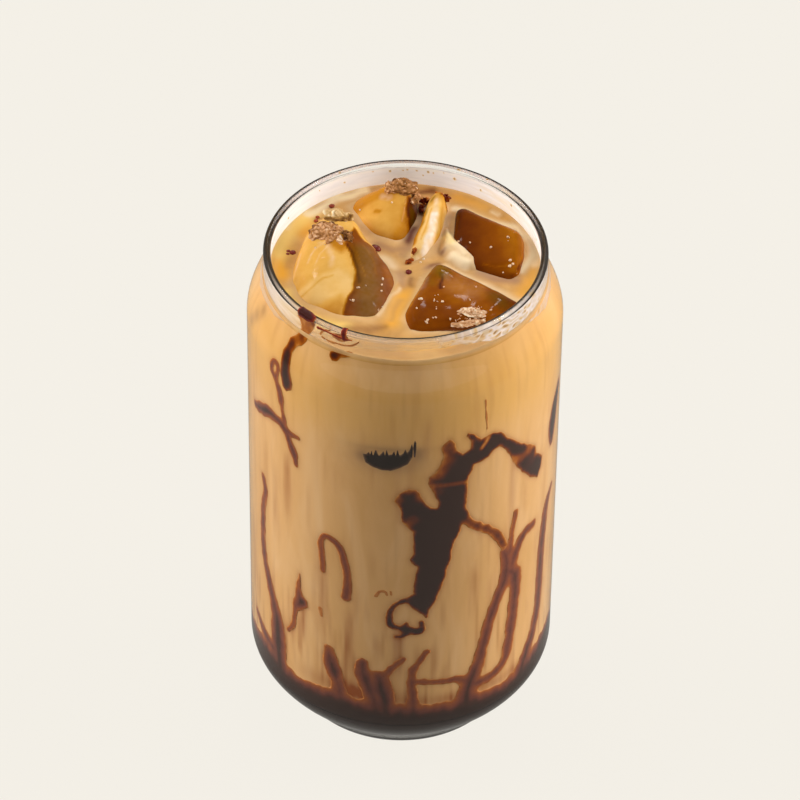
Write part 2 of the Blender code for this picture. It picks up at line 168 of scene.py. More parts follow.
def floor_paper():
    """Matt cream paper, evenly lit. Rays bent or mirrored by the glass find only a table's reach of it."""
    material = blank("cream_paper")
    paper = add(material, "BsdfPrincipled", {"Base Color": colour("2e2c29"), "Roughness": 0.9,
                                             "Specular IOR Level": 0.0, "Emission Color": colour(CREAM),
                                             "Emission Strength": 0.95})
    dark = add(material, "BsdfDiffuse", {"Color": colour("1c1a18")})
    place = add(material, "TexCoord").outputs["Object"]
    away = add(material, "VectorMath", {0: place}, operation="LENGTH").outputs["Value"]
    near = add(material, "MapRange", {"Value": away, "From Min": TABLE_REACH[0], "From Max": TABLE_REACH[1],
                                      "To Min": 1.0, "To Max": 0.0})
    ray = add(material, "LightPath").outputs
    mirrored = add(material, "Math", {0: ray["Is Glossy Ray"], 1: ray["Is Transmission Ray"]},
                   operation="SUBTRACT", use_clamp=True)
    weaker = add(material, "Math", {0: mirrored, 1: TABLE_MIRRORED - 1, 2: 1.0}, operation="MULTIPLY_ADD")
    seen = add(material, "Math", {0: near, 1: weaker}, operation="MULTIPLY")
    shown = add(material, "Math", {0: seen, 1: ray["Is Camera Ray"]}, operation="MAXIMUM")
    surface = add(material, "MixShader", {0: shown, 1: dark, 2: paper})
    add(material, "OutputMaterial", {"Surface": surface})
    return material


shape = bmesh.new()
bmesh.ops.create_grid(shape, x_segments=1, y_segments=1, size=FLOOR_SIZE / 2)
bmesh.ops.translate(shape, verts=shape.verts, vec=(0, 0, -FLOOR_DROP))
mesh = bpy.data.meshes.new("floor")
shape.to_mesh(mesh)
shape.free()
floor = bpy.data.objects.new("floor", mesh)
floor.data.materials.append(floor_paper())
floor.visible_diffuse = False
bpy.context.scene.collection.objects.link(floor)


def lamp(name, side, lift, away, wide, high, watts):
    """Soft rectangular lamp that faces the drink; side is its way round from the front, + to the right."""
    data = bpy.data.lights.new(name, "AREA")
    data.shape = "RECTANGLE"
    data.size = wide
    data.size_y = high
    data.energy = watts
    light = bpy.data.objects.new(name, data)
    way = Vector((sin(radians(side)) * cos(radians(lift)), -cos(radians(side)) * cos(radians(lift)),
                  sin(radians(lift))))
    light.location = LAMP_AIM + way * away
    light.rotation_euler = way.to_track_quat("Z", "Y").to_euler()
    light.visible_camera = False
    bpy.context.scene.collection.objects.link(light)
    return light


for name, side, lift, away, wide, high, watts in (
        ("lamp_left", -100, 12, 0.7, 0.5, 0.8, 9.7), ("lamp_right", 98, 12, 0.7, 0.5, 0.8, 9.5),
        ("lamp_front", 5, 12, 1.0, 0.6, 0.4, 3.3), ("lamp_back", 180, 60, 0.8, 0.5, 0.3, 2.0)):
    lamp(name, side, lift, away, wide, high, watts).visible_glossy = False
for name, side, lift in (("spark_left", -140, 50), ("spark_back", 172, 44), ("spark_right", 110, 58)):
    lamp(name, side, lift, 0.8, 0.06, 0.06, 0.25)

world = bpy.data.worlds.new("room")
world.use_nodes = True
world.node_tree.nodes.clear()
room_light = add(world, "Background", {"Color": colour("d8d2c8"), "Strength": 0.1})
backdrop = add(world, "Background", {"Color": colour(CREAM)})
ray = add(world, "LightPath").outputs
seen = add(world, "Math", {0: ray["Is Glossy Ray"], 1: ROOM_MIRRORED, 2: ray["Is Camera Ray"]},
           operation="MULTIPLY_ADD", use_clamp=True)
add(world, "OutputWorld", {"Surface": add(world, "MixShader", {0: seen, 1: room_light, 2: backdrop})})
bpy.context.scene.world = world
bpy.context.scene.view_settings.view_transform = "Standard"
print("lamps:", ", ".join(light.name for light in bpy.data.lights))

# %% [markdown]
# ## The glass
# Pressed soda-lime glass, 133 mm tall: an upright wall, a shoulder that draws in to the lip, and a rounded
# base on a narrow foot. Everything about it is round, so its section is drawn once as a line of points and
# spun round the axis. The same section, read as two functions, tells the drink and the syrup where the wall
# is.

# %% The glass's section
glass_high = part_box("glass")[1]
GLASS_HEIGHT = glass_high.z
BODY_RADIUS = glass_high.x
WALL = 2.2 * MM
INNER = BODY_RADIUS - WALL
FOOT_RADIUS = 26.2 * MM
FOOT_RING_OUTER = 24.8 * MM
FOOT_RING_INNER = 21.5 * MM
FOOT_EDGE_HEIGHT = 1.2 * MM
BASE_CURVE_TOP = 17.5 * MM
BASE_CURVE_POWER = 1.2
PUNT_DEPTH = 1.4 * MM
FLOOR_HEIGHT = 7.0 * MM
FLOOR_FLAT_RADIUS = 20 * MM
FLOOR_CURVE_TOP = 18.5 * MM
SHOULDER_FOOT = 115 * MM
SHOULDER_TOP = 130 * MM
NECK_OUTER = 32.1 * MM
NECK_INNER = 30.6 * MM
LIP_OUTER = 32.3 * MM
LIP_RADIUS = (LIP_OUTER - NECK_INNER) / 2
LIP_MIDDLE = NECK_INNER + LIP_RADIUS
AROUND = 400
FLOOR_STEPS = 16
SHOULDER_STEPS = 20
LIP_STEPS = 36
BASE_STEPS = 18
CORNER_STEPS = 4
PUNT_STEPS = 6
MERGE_MM = 0.001
MERGE = MERGE_MM * MM


def shoulder(height, below, above):
    """Radius at a height, passing from the body's radius to the neck's by a half cosine."""
    t = min(max((height - SHOULDER_FOOT) / (SHOULDER_TOP - SHOULDER_FOOT), 0), 1)
    return below + (above - below) * (0.5 - 0.5 * cos(pi * t))


def wall_radius(height):
    """Radius of the inside of the glass at a height."""
    if height < FLOOR_CURVE_TOP:
        drop = min((FLOOR_CURVE_TOP - height) / (FLOOR_CURVE_TOP - FLOOR_HEIGHT), 1)
        return FLOOR_FLAT_RADIUS + (INNER - FLOOR_FLAT_RADIUS) * sin(acos(drop))
    return shoulder(height, INNER, NECK_INNER)


def even(start, end, count):
    """Evenly spaced values from start to end, both included."""
    return [start + (end - start) * i / count for i in range(count + 1)]


def glass_section():
    """Points from the middle of the floor up the inside, over the lip and down the outside to the foot."""
    points = [(0, FLOOR_HEIGHT)]
    for turn in even(0, pi / 2, FLOOR_STEPS):
        radius = FLOOR_FLAT_RADIUS + (INNER - FLOOR_FLAT_RADIUS) * sin(turn)
        points.append((radius, FLOOR_CURVE_TOP - (FLOOR_CURVE_TOP - FLOOR_HEIGHT) * cos(turn)))
    for height in even(SHOULDER_FOOT, SHOULDER_TOP, SHOULDER_STEPS):
        points.append((shoulder(height, INNER, NECK_INNER), height))
    for turn in even(pi, 0, LIP_STEPS):
        height = GLASS_HEIGHT - LIP_RADIUS + LIP_RADIUS * sin(turn)
        points.append((LIP_MIDDLE + LIP_RADIUS * cos(turn), height))
    for height in even(SHOULDER_TOP, SHOULDER_FOOT, SHOULDER_STEPS):
        points.append((shoulder(height, BODY_RADIUS, NECK_OUTER), height))
    for t in even(1, 0, BASE_STEPS):
        radius = FOOT_RADIUS + (BODY_RADIUS - FOOT_RADIUS) * sin(pi / 2 * t) ** BASE_CURVE_POWER
        points.append((radius, FOOT_EDGE_HEIGHT + (BASE_CURVE_TOP - FOOT_EDGE_HEIGHT) * t))
    corner = FOOT_RADIUS - FOOT_RING_OUTER
    for turn in even(0, pi / 2, CORNER_STEPS)[1:]:
        points.append((FOOT_RING_OUTER + corner * cos(turn), FOOT_EDGE_HEIGHT * (1 - sin(turn))))
    points.append((FOOT_RING_INNER, 0))
    for t in even(1, 0, PUNT_STEPS)[1:]:
        points.append((FOOT_RING_INNER * t, PUNT_DEPTH * (1 - t * t)))
    return points


def spun(points, steps=AROUND):
    """Solid of a section spun a full turn round the upright axis."""
    shape = bmesh.new()
    line = [shape.verts.new((radius, 0, height)) for radius, height in points]
    edges = [shape.edges.new(pair) for pair in zip(line, line[1:])]
    bmesh.ops.spin(shape, geom=line + edges, cent=(0, 0, 0), axis=(0, 0, 1), angle=2 * pi, steps=steps,
                   use_merge=True)
    bmesh.ops.remove_doubles(shape, verts=shape.verts, dist=MERGE)
    bmesh.ops.recalc_face_normals(shape, faces=shape.faces)
    return shape


print(f"glass {GLASS_HEIGHT / MM:.1f} mm tall, {2 * BODY_RADIUS / MM:.1f} mm across")

# %% [markdown]
# A finished shape becomes a piece in the same few lines each time: its mesh goes into an object at the
# origin, it is shaded smooth, it rides with the rest, and the solids it stands for are hidden. Before that,
# numbers such as thickness or paleness are kept on its points, worked out from where the points are.

# %% Numbers on points, and pieces
def spots_of(shape):
    """Places of a shape's points in mm, as one array for each axis."""
    return np.array([vert.co for vert in shape.verts]).T / MM


def keep(shape, **numbers):
    """Keep numbers on the points of a shape, each as an array or as one value for all of them."""
    for name, values in numbers.items():
        layer = shape.verts.layers.float.new(name)
        for vert, value in zip(shape.verts, np.broadcast_to(values, len(shape.verts))):
            vert[layer] = value


def piece(name, shape, materials, stands_for=()):
    """Object made from a shape, which is used up."""
    mesh = bpy.data.meshes.new(name)
    shape.to_mesh(mesh)
    shape.free()
    made = bpy.data.objects.new(name, mesh)
    bpy.context.scene.collection.objects.link(made)
    for material in materials:
        mesh.materials.append(material)
    mesh.shade_smooth()
    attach(made, "root")
    if stands_for:
        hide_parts(*stands_for)
    triangles = sum(len(face.vertices) - 2 for face in mesh.polygons)
    print(f"{name}: {triangles} triangles")
    return made


# %% [markdown]
# ### Clear glass
# Real glass bends light with an index of about 1.5 and mirrors a little of it. A shader that traces every
# ray through the wall would leave the drink behind it dark and noisy, so light on its way from a lamp or
# between matt surfaces passes straight through, and only what the eye looks along is bent. Apart from its
# dark edge, the lines along the lip and the foot aren't painted: they are the room, the table and the drink,
# bent by the round edge. The dark edge of the lip is painted shade: the lip is a thick bead that bends light
# away where it is seen edge-on, so its material is painted dark there by Layer Weight, which is alike all
# round and from every side.

# %% Clear glass
EDGE_FACING = (0.17, 0.36)
LIP_EDGE = 0.96


def lets_light_through(material, shader, tint):
    """Shader that bends what is looked at but lets light from lamps and matt surfaces pass straight."""
    ray = add(material, "LightPath").outputs
    clear = add(material, "BsdfTransparent", {"Color": colour(tint)})
    lit = add(material, "MixShader", {0: ray["Is Shadow Ray"], 1: shader, 2: clear})
    return add(material, "MixShader", {0: ray["Is Diffuse Ray"], 1: lit, 2: clear})


def soda_lime_glass(name, edge=0.0):
    """Pressed and fire-polished glass, clear and smooth; edge is how dark its painted shade gets where seen
    edge-on.
    """
    material = blank(name)
    surface = add(material, "BsdfPrincipled", {"Base Color": colour("fbfaf7"), "Roughness": 0.01, "IOR": 1.5,
                                               "Transmission Weight": 1.0, "Specular IOR Level": 0.3})
    if edge:
        facing = add(material, "LayerWeight", {"Blend": 0.5}).outputs["Facing"]
        share = add(material, "MapRange", {"Value": facing, "From Min": EDGE_FACING[0],
                                           "From Max": EDGE_FACING[1], "To Min": 0.0, "To Max": edge})
        # Painted shade: near-black where the lip is seen edge-on.
        dark = add(material, "BsdfPrincipled", {"Base Color": colour("120b06"), "Roughness": 0.1,
                                                "Specular IOR Level": 0.15})
        surface = add(material, "MixShader", {0: share, 1: surface, 2: dark})
    add(material, "OutputMaterial", {"Surface": lets_light_through(material, surface, "f8f6f2")})
    return material


def glass_shape():
    """The glass, with the bead of its lip as a second material."""
    shape = spun(glass_section())
    for face in shape.faces:
        face.material_index = int(face.calc_center_median().z > GLASS_HEIGHT - 2 * LIP_RADIUS)
    return shape


clear_glass = soda_lime_glass("soda_lime_glass")
lip_glass = soda_lime_glass("glass_lip", LIP_EDGE)
piece("glass", glass_shape(), [clear_glass, lip_glass], ["glass"])

# %% [markdown]
# ## Syrup on the wall
# Chocolate syrup that was squeezed round the glass clings to the inside of the wall: thick in the middle of
# a run, thin and see-through at its edges. Each run is a list of points: degrees round from the front,
# height and width in millimetres. A smooth path is laid through them, and every spot of the wall then gets
# its reach, which is how far inside the nearest run it lies. That one number cuts the outline, gives the
# thickness and later picks the colour.

# %% Runs of syrup
FRONT_RUNS = [
    [(6, 54.5, 2.2), (2, 55.8, 1.6), (-1, 55.2, 1.2), (-3.3, 53, 1.2), (-4.5, 50, 1.6), (-3.4, 47.9, 1.6),
     (0, 47, 1.5), (3, 46.6, 2.2), (6, 46, 2.2), (7.9, 46.6, 1.8), (7.9, 48.6, 1.2)],
    [(-1.7, 44.2, 0.8), (0.8, 44.5, 1), (3, 46, 1.6)],
    [(1.5, 47, 1.2), (2.1, 48.6, 0.7)],
    [(20, 83.5, 3), (25.5, 78.5, 2), (30, 75.5, 2.2), (35, 73, 2), (39.5, 69, 2.1), (42, 65.5, 2.1)],
]
POOL_RUNS = [
    [(42.3, 63.7, 2), (44, 59, 3), (43, 54, 3.4), (39.5, 49.5, 2.7), (35.5, 42, 2.6), (32.5, 33.5, 2.7),
     (30, 28.5, 3.4), (27, 23, 4), (26.5, 16, 4)],
    [(44, 57, 2.6), (48.5, 54, 3.4), (49, 48, 3.1), (47.5, 39.5, 2.8), (46, 31.5, 2.6), (43.5, 27, 2.4),
     (38, 25, 2.2), (31, 24.5, 2.4)],
    [(46.5, 57.5, 2.6), (49.5, 62, 2.4), (53.5, 65, 2.4), (59, 65.2, 2)],
    [(45, 60, 1.2), (46.5, 69, 1), (48, 74, 0.9)],
    [(75, 69, 1.6), (70.5, 66, 2.4), (68, 59, 3), (66.5, 50, 3.2), (65.5, 37, 2.8), (62, 29, 2.9),
     (57, 23.5, 3.6), (52, 16, 4)],
    [(5.5, 29.5, 1.1), (15.5, 28.5, 1.1), (23, 28, 1.5), (29, 25, 2)],
    [(4.8, 33.5, 0.9), (4.5, 29, 1.4), (5, 24.5, 1.8), (5.5, 16, 2.4)],
    [(4.5, 32.5, 0.9), (7.5, 36, 0.9), (10, 39, 0.9)],
    [(-65, 76, 1.5), (-63.5, 72, 1.5), (-65.5, 66, 1.6), (-66, 58, 1.9), (-65, 51.5, 2.1), (-62, 46, 2.3),
     (-58.5, 40.5, 2.9), (-56, 36, 3.9), (-55, 29.5, 5.2), (-54.5, 24, 4.6), (-53, 16, 4.6)],
    [(-73, 28.5, 1.6), (-66.5, 26, 2.4), (-59, 24, 3.4)],
    [(-28.5, 36, 1.6), (-28, 33, 3.3), (-26.5, 29.5, 3.7), (-24.5, 25, 2.4), (-23, 16, 2.6)],
    [(-14.5, 34.5, 2.2), (-14.5, 31.5, 3.4), (-12.5, 27.5, 3.4), (-10, 23, 3.2), (-8, 16, 4)],
    [(-8, 30.5, 3.2), (-7, 26.5, 4.6), (-5.5, 22, 3.6), (-5, 16, 4)],
    [(-7.5, 30, 1.6), (-3, 34, 1.1), (1, 37, 0.8)],
]
NECK_RUNS = [
    [(-43.5, 129.5, 2), (-44.5, 126.5, 1.6), (-48, 123.5, 1.6), (-50.3, 120, 1.6), (-50, 116, 1.6),
     (-48.6, 112.5, 1.8)],
]
LEFT_RUNS = [
    [(-72, 95, 1.6), (-67.5, 96.2, 2.6), (-61, 98.3, 3.2), (-55, 99, 2.1), (-50.5, 98, 1.8),
     (-47.5, 95.5, 1.7), (-45, 92.5, 1.9), (-44, 89.5, 0.9)],
    [(-51, 98.2, 1.4), (-47, 97.8, 0.9), (-43, 98, 0.7)],
    [(-57.1, 115, 0.6), (-57.8, 113.6, 0.7), (-57, 112, 0.7), (-55.2, 111.6, 0.8), (-53.8, 113.8, 0.7),
     (-54.3, 115.3, 0.7), (-56.2, 115.6, 0.7), (-57.1, 115, 0.6)],
    [(-55.4, 111.4, 0.9), (-53.5, 109, 1.5), (-52.2, 106.5, 1.8), (-51.3, 103.5, 0.8), (-50.3, 101, 0.8),
     (-50, 98, 1)],
]
LOOP_RUNS = [
    [(-31.2, 60.5, 0.9), (-31.6, 66, 1.1), (-32, 69.5, 1.1), (-30.3, 71.7, 1.1), (-27.3, 71.5, 1.3),
     (-24, 69.7, 1.4), (-22, 65.4, 1.4), (-20.7, 59.5, 1.4), (-21.3, 54.5, 2)],
]
TEAR_RUNS = [
    [(-44, 45.5, 2), (-45, 42, 1), (-46, 37.5, 1.3), (-48.6, 34.8, 0.8)],
]
SIDE_RUNS = [
    [(80, 98, 3), (75.5, 93.5, 4.4), (73.5, 88.5, 4.4), (73, 84, 1.6)],
]
DRIP_RUNS = [
    [(-30, 124.6, 0.5), (-26.5, 125.4, 0.4), (-22.5, 126.2, 0.3)],
]
WALL_SYRUP = {"syrup_front": FRONT_RUNS, "syrup_neck": NECK_RUNS, "syrup_left": LEFT_RUNS,
              "syrup_loop": LOOP_RUNS, "syrup_tear": TEAR_RUNS, "syrup_side": SIDE_RUNS,
              "syrup_rim_drip": DRIP_RUNS}
print("runs of syrup:", sum(map(len, WALL_SYRUP.values())) + len(POOL_RUNS))

FRONT_PATCH = [
    (17.4, 105.1), (14.5, 102.7), (15.4, 99.8), (13.4, 96.7), (9.9, 94), (10.1, 92.2), (11.9, 88.6),
    (13.7, 86.3), (13.3, 84.5), (11.6, 84.5), (8.6, 86.1), (6.4, 89), (5.1, 90.6), (2.2, 91.1),
    (-1.1, 89.5), (-2.9, 87.2), (-0.6, 85), (-0.1, 80.9), (2.4, 78.8), (4.3, 77.7), (4.4, 70.9),
    (3.3, 68.9), (4.5, 67.4), (6.2, 66.6), (5.4, 63.8), (4.9, 59.9), (4.7, 58.2), (2.7, 56.6), (4.2, 54.4),
    (6.3, 52.6), (9.8, 50.3), (11, 52.7), (13.1, 55.4), (15.6, 60), (17.7, 65.4), (18.9, 69.5),
    (20.1, 73.5), (22.3, 75.9), (23.5, 79.1), (24.3, 81.4), (24.5, 85.2), (24.7, 90.6), (25.7, 93.2),
    (27.5, 95.5), (30, 95.6), (33.2, 96.2), (34.8, 97.3), (38.2, 98), (41.4, 96.2), (45, 92.1), (47, 89),
    (50.9, 85.6), (56, 81.7), (61, 79.3), (63.6, 81.1), (64, 84.1), (59.6, 87.1), (58.3, 90.1),
    (50.4, 94.1), (42.9, 98.9), (39, 101.8), (35.4, 103.1), (30.3, 102.2), (27.6, 104.3), (24.5, 105.5),
    (24.2, 104.6), (26.4, 102.9), (26.1, 100.5), (22.8, 99.6), (19.9, 100.9), (19.4, 103.2)]
TEAR_PATCH = [(-42.3, 55.7), (-43.8, 51.5), (-45.3, 44.4), (-42.6, 43.8), (-38.1, 46.4), (-38.7, 48.1),
              (-40.9, 49), (-41.7, 52.3)]
NECK_PATCH = [(-50.6, 130.2), (-48, 129.7), (-46.8, 128.4), (-46.2, 126.9), (-47.6, 125.1), (-51, 123.2),
              (-51.2, 121.8), (-52.6, 119.6), (-52.5, 116.6), (-51.9, 113.4), (-50.7, 110.6), (-49, 109.8),
              (-46.3, 111.2), (-45.7, 113.2), (-47.1, 115.9), (-48, 118.1), (-48.4, 120.5), (-47, 122.7),
              (-44.7, 123.4), (-43.2, 125), (-42.6, 127), (-41.4, 128.2), (-39.6, 130.4), (-39.6, 131.4)]
DRIP_PATCH = [(-31.2, 125.5), (-26.5, 126), (-21.7, 126.5), (-21.4, 126.1), (-26.2, 125), (-27.7, 123.7),
              (-29.6, 123.6), (-30.9, 124.4)]
PATCHES = {"syrup_front": FRONT_PATCH, "syrup_tear": TEAR_PATCH, "syrup_neck": NECK_PATCH,
           "syrup_rim_drip": DRIP_PATCH}

# %% Distance to an outline
def from_line(x, y, start, end):
    """Distance from spots to the straight line between two points."""
    (x0, y0), (x1, y1) = start, end
    length = max((x1 - x0) ** 2 + (y1 - y0) ** 2, 1e-9)
    t = np.clip(((x - x0) * (x1 - x0) + (y - y0) * (y1 - y0)) / length, 0, 1)
    return np.hypot(x - x0 - t * (x1 - x0), y - y0 - t * (y1 - y0))


def near_path(path, x, y):
    """Distance in mm from spots to an open path, or to a single point."""
    return np.min([from_line(x, y, *ends) for ends in zip(path, path[1:] or path)], axis=0)


def outside(outline, x, y):
    """Distance from spots to a closed outline: positive outside it, negative inside."""
    inside = np.zeros(len(x), bool)
    for (x0, y0), (x1, y1) in zip(outline, outline[1:] + outline[:1]):
        if y1 != y0:
            inside ^= ((y0 > y) != (y1 > y)) & (x < x0 + (y - y0) * (x1 - x0) / (y1 - y0))
    away = near_path(outline + outline[:1], x, y)
    return np.where(inside, -away, away)


# %% Reach into the runs
INNER_MM = INNER / MM
PATH_STEPS = 5
BLEND = 2.5
FAR_OUT = -6.0


def smooth_path(run):
    """Points on a curve through a run, each as way round the wall, height and half width in mm."""
    points = np.array([(radians(turn) * INNER_MM, height, width / 2) for turn, height, width in run])
    padded = np.vstack([2 * points[0] - points[1], points, 2 * points[-1] - points[-2]])
    path = []
    for before, start, end, after in zip(padded, padded[1:], padded[2:], padded[3:]):
        for i in range(PATH_STEPS):
            t = i / PATH_STEPS
            path.append(0.5 * (2 * start + (end - before) * t
                               + (2 * before - 5 * start + 4 * end - after) * t ** 2
                               + (3 * start - before - 3 * end + after) * t ** 3))
    path.append(points[-1])
    return path


def reach_into(runs, ways, heights, patch=None):
    """How far inside the runs and a patch each spot of the wall lies, in mm, softly joined."""
    total = np.full(len(ways), np.exp(BLEND * FAR_OUT))
    if patch:
        outline = [(radians(turn) * INNER_MM, height) for turn, height in patch]
        total += np.exp(BLEND * np.clip(-outside(outline, ways, heights), FAR_OUT, -FAR_OUT))
    for run in runs:
        path = smooth_path(run)
        low = np.min(path, axis=0) + FAR_OUT
        high = np.max(path, axis=0) - FAR_OUT
        near = np.flatnonzero((ways > low[0]) & (ways < high[0]) & (heights > low[1]) & (heights < high[1]))
        if not len(near):
            continue
        best = np.full(len(near), FAR_OUT)
        for start, end in zip(path, path[1:]):
            step = end - start
            t = (ways[near] - start[0]) * step[0] + (heights[near] - start[1]) * step[1]
            t = np.clip(t / max(step[0] ** 2 + step[1] ** 2, 1e-9), 0, 1)
            away = np.hypot(ways[near] - start[0] - t * step[0], heights[near] - start[1] - t * step[1])
            best = np.maximum(best, start[2] + t * step[2] - away)
        total[near] += np.exp(BLEND * best)
    return np.log(total) / BLEND


def wander(ways, heights, size, seed, stretch=1.0):
    """Smooth noise from -1 to 1, in patches about size mm wide and stretch times as high."""
    return np.array([noise.noise((way / size, height / size / stretch, seed))
                     for way, height in zip(ways, heights)])


# %% [markdown]
# To make a run, a fine flat grid is laid over its part of the wall, each point is lifted by its reach, and
# one level cut takes away all that lies below zero: what is left has the run's outline. The cut sheet
# becomes the outer face, which touches the glass. A copy of it, raised by the thickness, becomes the face
# towards the drink. Both are then bent round the wall.

# %% Cut a run out of a grid and bend it round the wall
CELL = 0.4
SYRUP_THICKNESS = 1.1
ROUNDING = 1.3
INTO_GLASS = 0.1
MARGIN = 2.5
FULL_REACH = 3.0
EDGE_BAND = 2
EDGE_WAVES = [(1.0, 1.6, 0, 1.6), (0.4, 0.6, 5, 1.3)]
LOOK_WAVES = (0.35, 2.2, 9, 2.5)
THIN_SOFTNESS = 1.5


def on_wall(way, height, depth):
    """Place of a spot of the wall, given in mm: way round, height and depth towards the axis."""
    radius = wall_radius(height * MM) + (INTO_GLASS - depth) * MM
    return radius * sin(way / INNER_MM), -radius * cos(way / INNER_MM), height * MM


def runs_box(runs, patch=None):
    """Lowest and highest corner, in mm, of the part of the wall that runs and a patch need."""
    spots = [spot for run in runs for spot in run] + [(turn, height, 0) for turn, height in patch or ()]
    spots = np.array([(radians(turn) * INNER_MM, height, width) for turn, height, width in spots])
    margin = MARGIN + spots[:, 2].max() / 2
    return spots[:, :2].min(axis=0) - margin, spots[:, :2].max(axis=0) + margin


def wall_film(reach_at, box, thickness=SYRUP_THICKNESS, rough=0.22, seed=0.0, thin_spots=(), cell=CELL,
              rich=1.0, grow=0.3, rounding=ROUNDING, place=on_wall):
    """Closed skin of syrup where reach_at(ways, heights) is positive, with how thick it looks on its points.

    EDGE_WAVES and LOOK_WAVES are the noises in its edge and in its look: share, size in mm, seed, stretch."""
    low, high = box
    size = high - low
    shape = bmesh.new()
    bmesh.ops.create_grid(shape, x_segments=int(size[0] / cell), y_segments=int(size[1] / cell), size=0.5)
    bmesh.ops.scale(shape, verts=shape.verts, vec=(size[0], size[1], 1))
    bmesh.ops.translate(shape, verts=shape.verts, vec=(*(low + high) / 2, 0))
    ways, heights = np.array([vert.co[:2] for vert in shape.verts]).T
    reach = reach_at(ways, heights) + grow
    edge = np.flatnonzero(abs(reach) < EDGE_BAND)
    for share, grain, further, stretch in EDGE_WAVES:
        reach[edge] += share * rough * wander(ways[edge], heights[edge], grain, seed + further, stretch)
    for vert, lift in zip(shape.verts, reach):
        vert.co.z = lift
    everything = shape.verts[:] + shape.edges[:] + shape.faces[:]
    bmesh.ops.bisect_plane(shape, geom=everything, dist=1e-4, plane_co=(0, 0, 0), plane_no=(0, 0, 1),
                           clear_inner=True)
    ways, heights, reach = np.array([vert.co for vert in shape.verts]).T
    look = np.clip(reach * rich, 0, FULL_REACH)
    share, grain, further, stretch = LOOK_WAVES
    look = look + share * np.clip(look, 0, 1) * wander(ways, heights, grain, seed + further, stretch)
    for turn, height, radius, share in thin_spots:
        away = np.hypot(ways - radians(turn) * INNER_MM, heights - height)
        look = look * (1 - share * np.clip(THIN_SOFTNESS - away / radius, 0, 1))
    keep(shape, thickness=np.maximum(look, 0) / FULL_REACH)
    copy = bmesh.ops.duplicate(shape, geom=shape.faces[:])["geom"]
    copied = {item for item in copy if isinstance(item, bmesh.types.BMVert)}
    for vert in shape.verts:
        inward = max(min(vert.co.z / rounding, (vert.co.y - low[1]) / rounding, 1), 0)
        vert.co.z = thickness * sqrt(1 - (1 - inward) ** 2) if vert in copied else 0
    bmesh.ops.remove_doubles(shape, verts=shape.verts, dist=MERGE_MM)
    for vert in shape.verts:
        vert.co = place(*vert.co)
    bmesh.ops.remove_doubles(shape, verts=shape.verts, dist=MERGE)
    bmesh.ops.holes_fill(shape, edges=[edge for edge in shape.edges if edge.is_boundary])
    bmesh.ops.recalc_face_normals(shape, faces=shape.faces)
    return shape


def run_film(runs, patch=None, **look):
    """Film of syrup along some runs and over a patch."""
    def reach_at(ways, heights):
        return reach_into(runs, ways, heights, patch)
    return wall_film(reach_at, runs_box(runs, patch), **look)


# %% [markdown]
# ### Chocolate syrup
# Cocoa, sugar and water: thick syrup swallows nearly all light and looks black-brown, while a thin film
# lets the coffee behind it shine through and looks rusty orange. The colour therefore follows the
# thickness.

# %% Chocolate syrup
SYRUP_STOPS = (0.0, 0.07, 0.2, 0.38, 0.62, 0.85)


def chocolate_syrup(name, gloss, codes):
    """Syrup whose colour runs from rusty orange where it is thin to black-brown where it is thick."""
    material = blank(name)
    place = add(material, "TexCoord").outputs["Object"]
    drawn = add(material, "Mapping", {"Vector": place, "Scale": (1, 1, 0.35)})
    thickness = uneven(material, "thickness", 0.22, drawn, per_mm=0.7, detail=3.0, roughness=0.6)
    film = add(material, "ValToRGB", {"Fac": thickness}, stops=list(zip(SYRUP_STOPS, codes)))
    surface = add(material, "BsdfPrincipled", {"Base Color": film, "Roughness": 0.22, "IOR": 1.45,
                                               "Specular IOR Level": gloss})
    add(material, "OutputMaterial", {"Surface": surface})
    return material


syrup = chocolate_syrup("chocolate_syrup", 0.12, ("c07a3a", "a2551f", "8a4728", "70392a", "46261c", "362018"))
orange_syrup = chocolate_syrup("orange_chocolate_syrup", 0.12,
                               ("c4823a", "a85c16", "853e0a", "602a10", "42221a", "362018"))
wet_syrup = chocolate_syrup("wet_chocolate_syrup", 0.5,
                            ("b8672c", "9c3f16", "842814", "6e1a0e", "54120c", "3a0f0a"))

# %% Runs as pieces
LIGHT_BAND = [(turn, 92.3 - 0.064 * turn, 0.85, 0.6) for turn in even(11, 25, 7)]
THIN_SPOTS = {
    "syrup_front": [(33.3, 102, 0.7, 0.95), (32.4, 101.2, 0.75, 0.95), (31.4, 100.4, 0.75, 0.95),
                    (30.4, 99.6, 0.7, 0.9), *LIGHT_BAND, (17, 103.5, 2.4, 0.66), (14.6, 99, 3.1, 0.8),
                    (12.6, 95, 2.4, 0.8), (2.4, 90.5, 1.6, 0.75), (-1.7, 87.6, 1.6, 0.7), (1, 79.4, 1.8, 0.7),
                    (4, 81.4, 1.8, 0.6), (6.5, 88, 1.6, 0.6), (13.5, 89.5, 1.6, 0.5), (46.2, 90.9, 1.6, 0.85),
                    (54.8, 90.6, 1.7, 0.8), (50, 90, 1.8, 0.7), (57, 87, 2.4, 0.45), (26, 78.2, 2, 0.5),
                    (29, 76, 2, 0.5), (32.4, 74.3, 2, 0.5), (35.8, 72.4, 2, 0.5), (38.6, 69.8, 2, 0.5),
                    (41, 67, 2, 0.5), (42.3, 64.6, 1.6, 0.5)],
    "syrup_neck": [(-48, 130, 2.4, 0.85), (-43.5, 129.6, 2.4, 0.85), (-45, 127, 1.6, 0.85),
                   (-43.6, 125.4, 0.9, 0.7), (-49, 121, 0.9, 0.4), (-47.2, 123.6, 1.7, 0.75)],
    "syrup_rim_drip": [(-24, 125.8, 2, 0.7), (-28, 124.4, 1, 0.3)],
}
RICH = {"syrup_front": 2.6, "syrup_neck": 1.9, "syrup_rim_drip": 2.4, "syrup_side": 1.6, "syrup_left": 1.2}
ORANGE = ("syrup_front", "syrup_neck", "syrup_rim_drip")
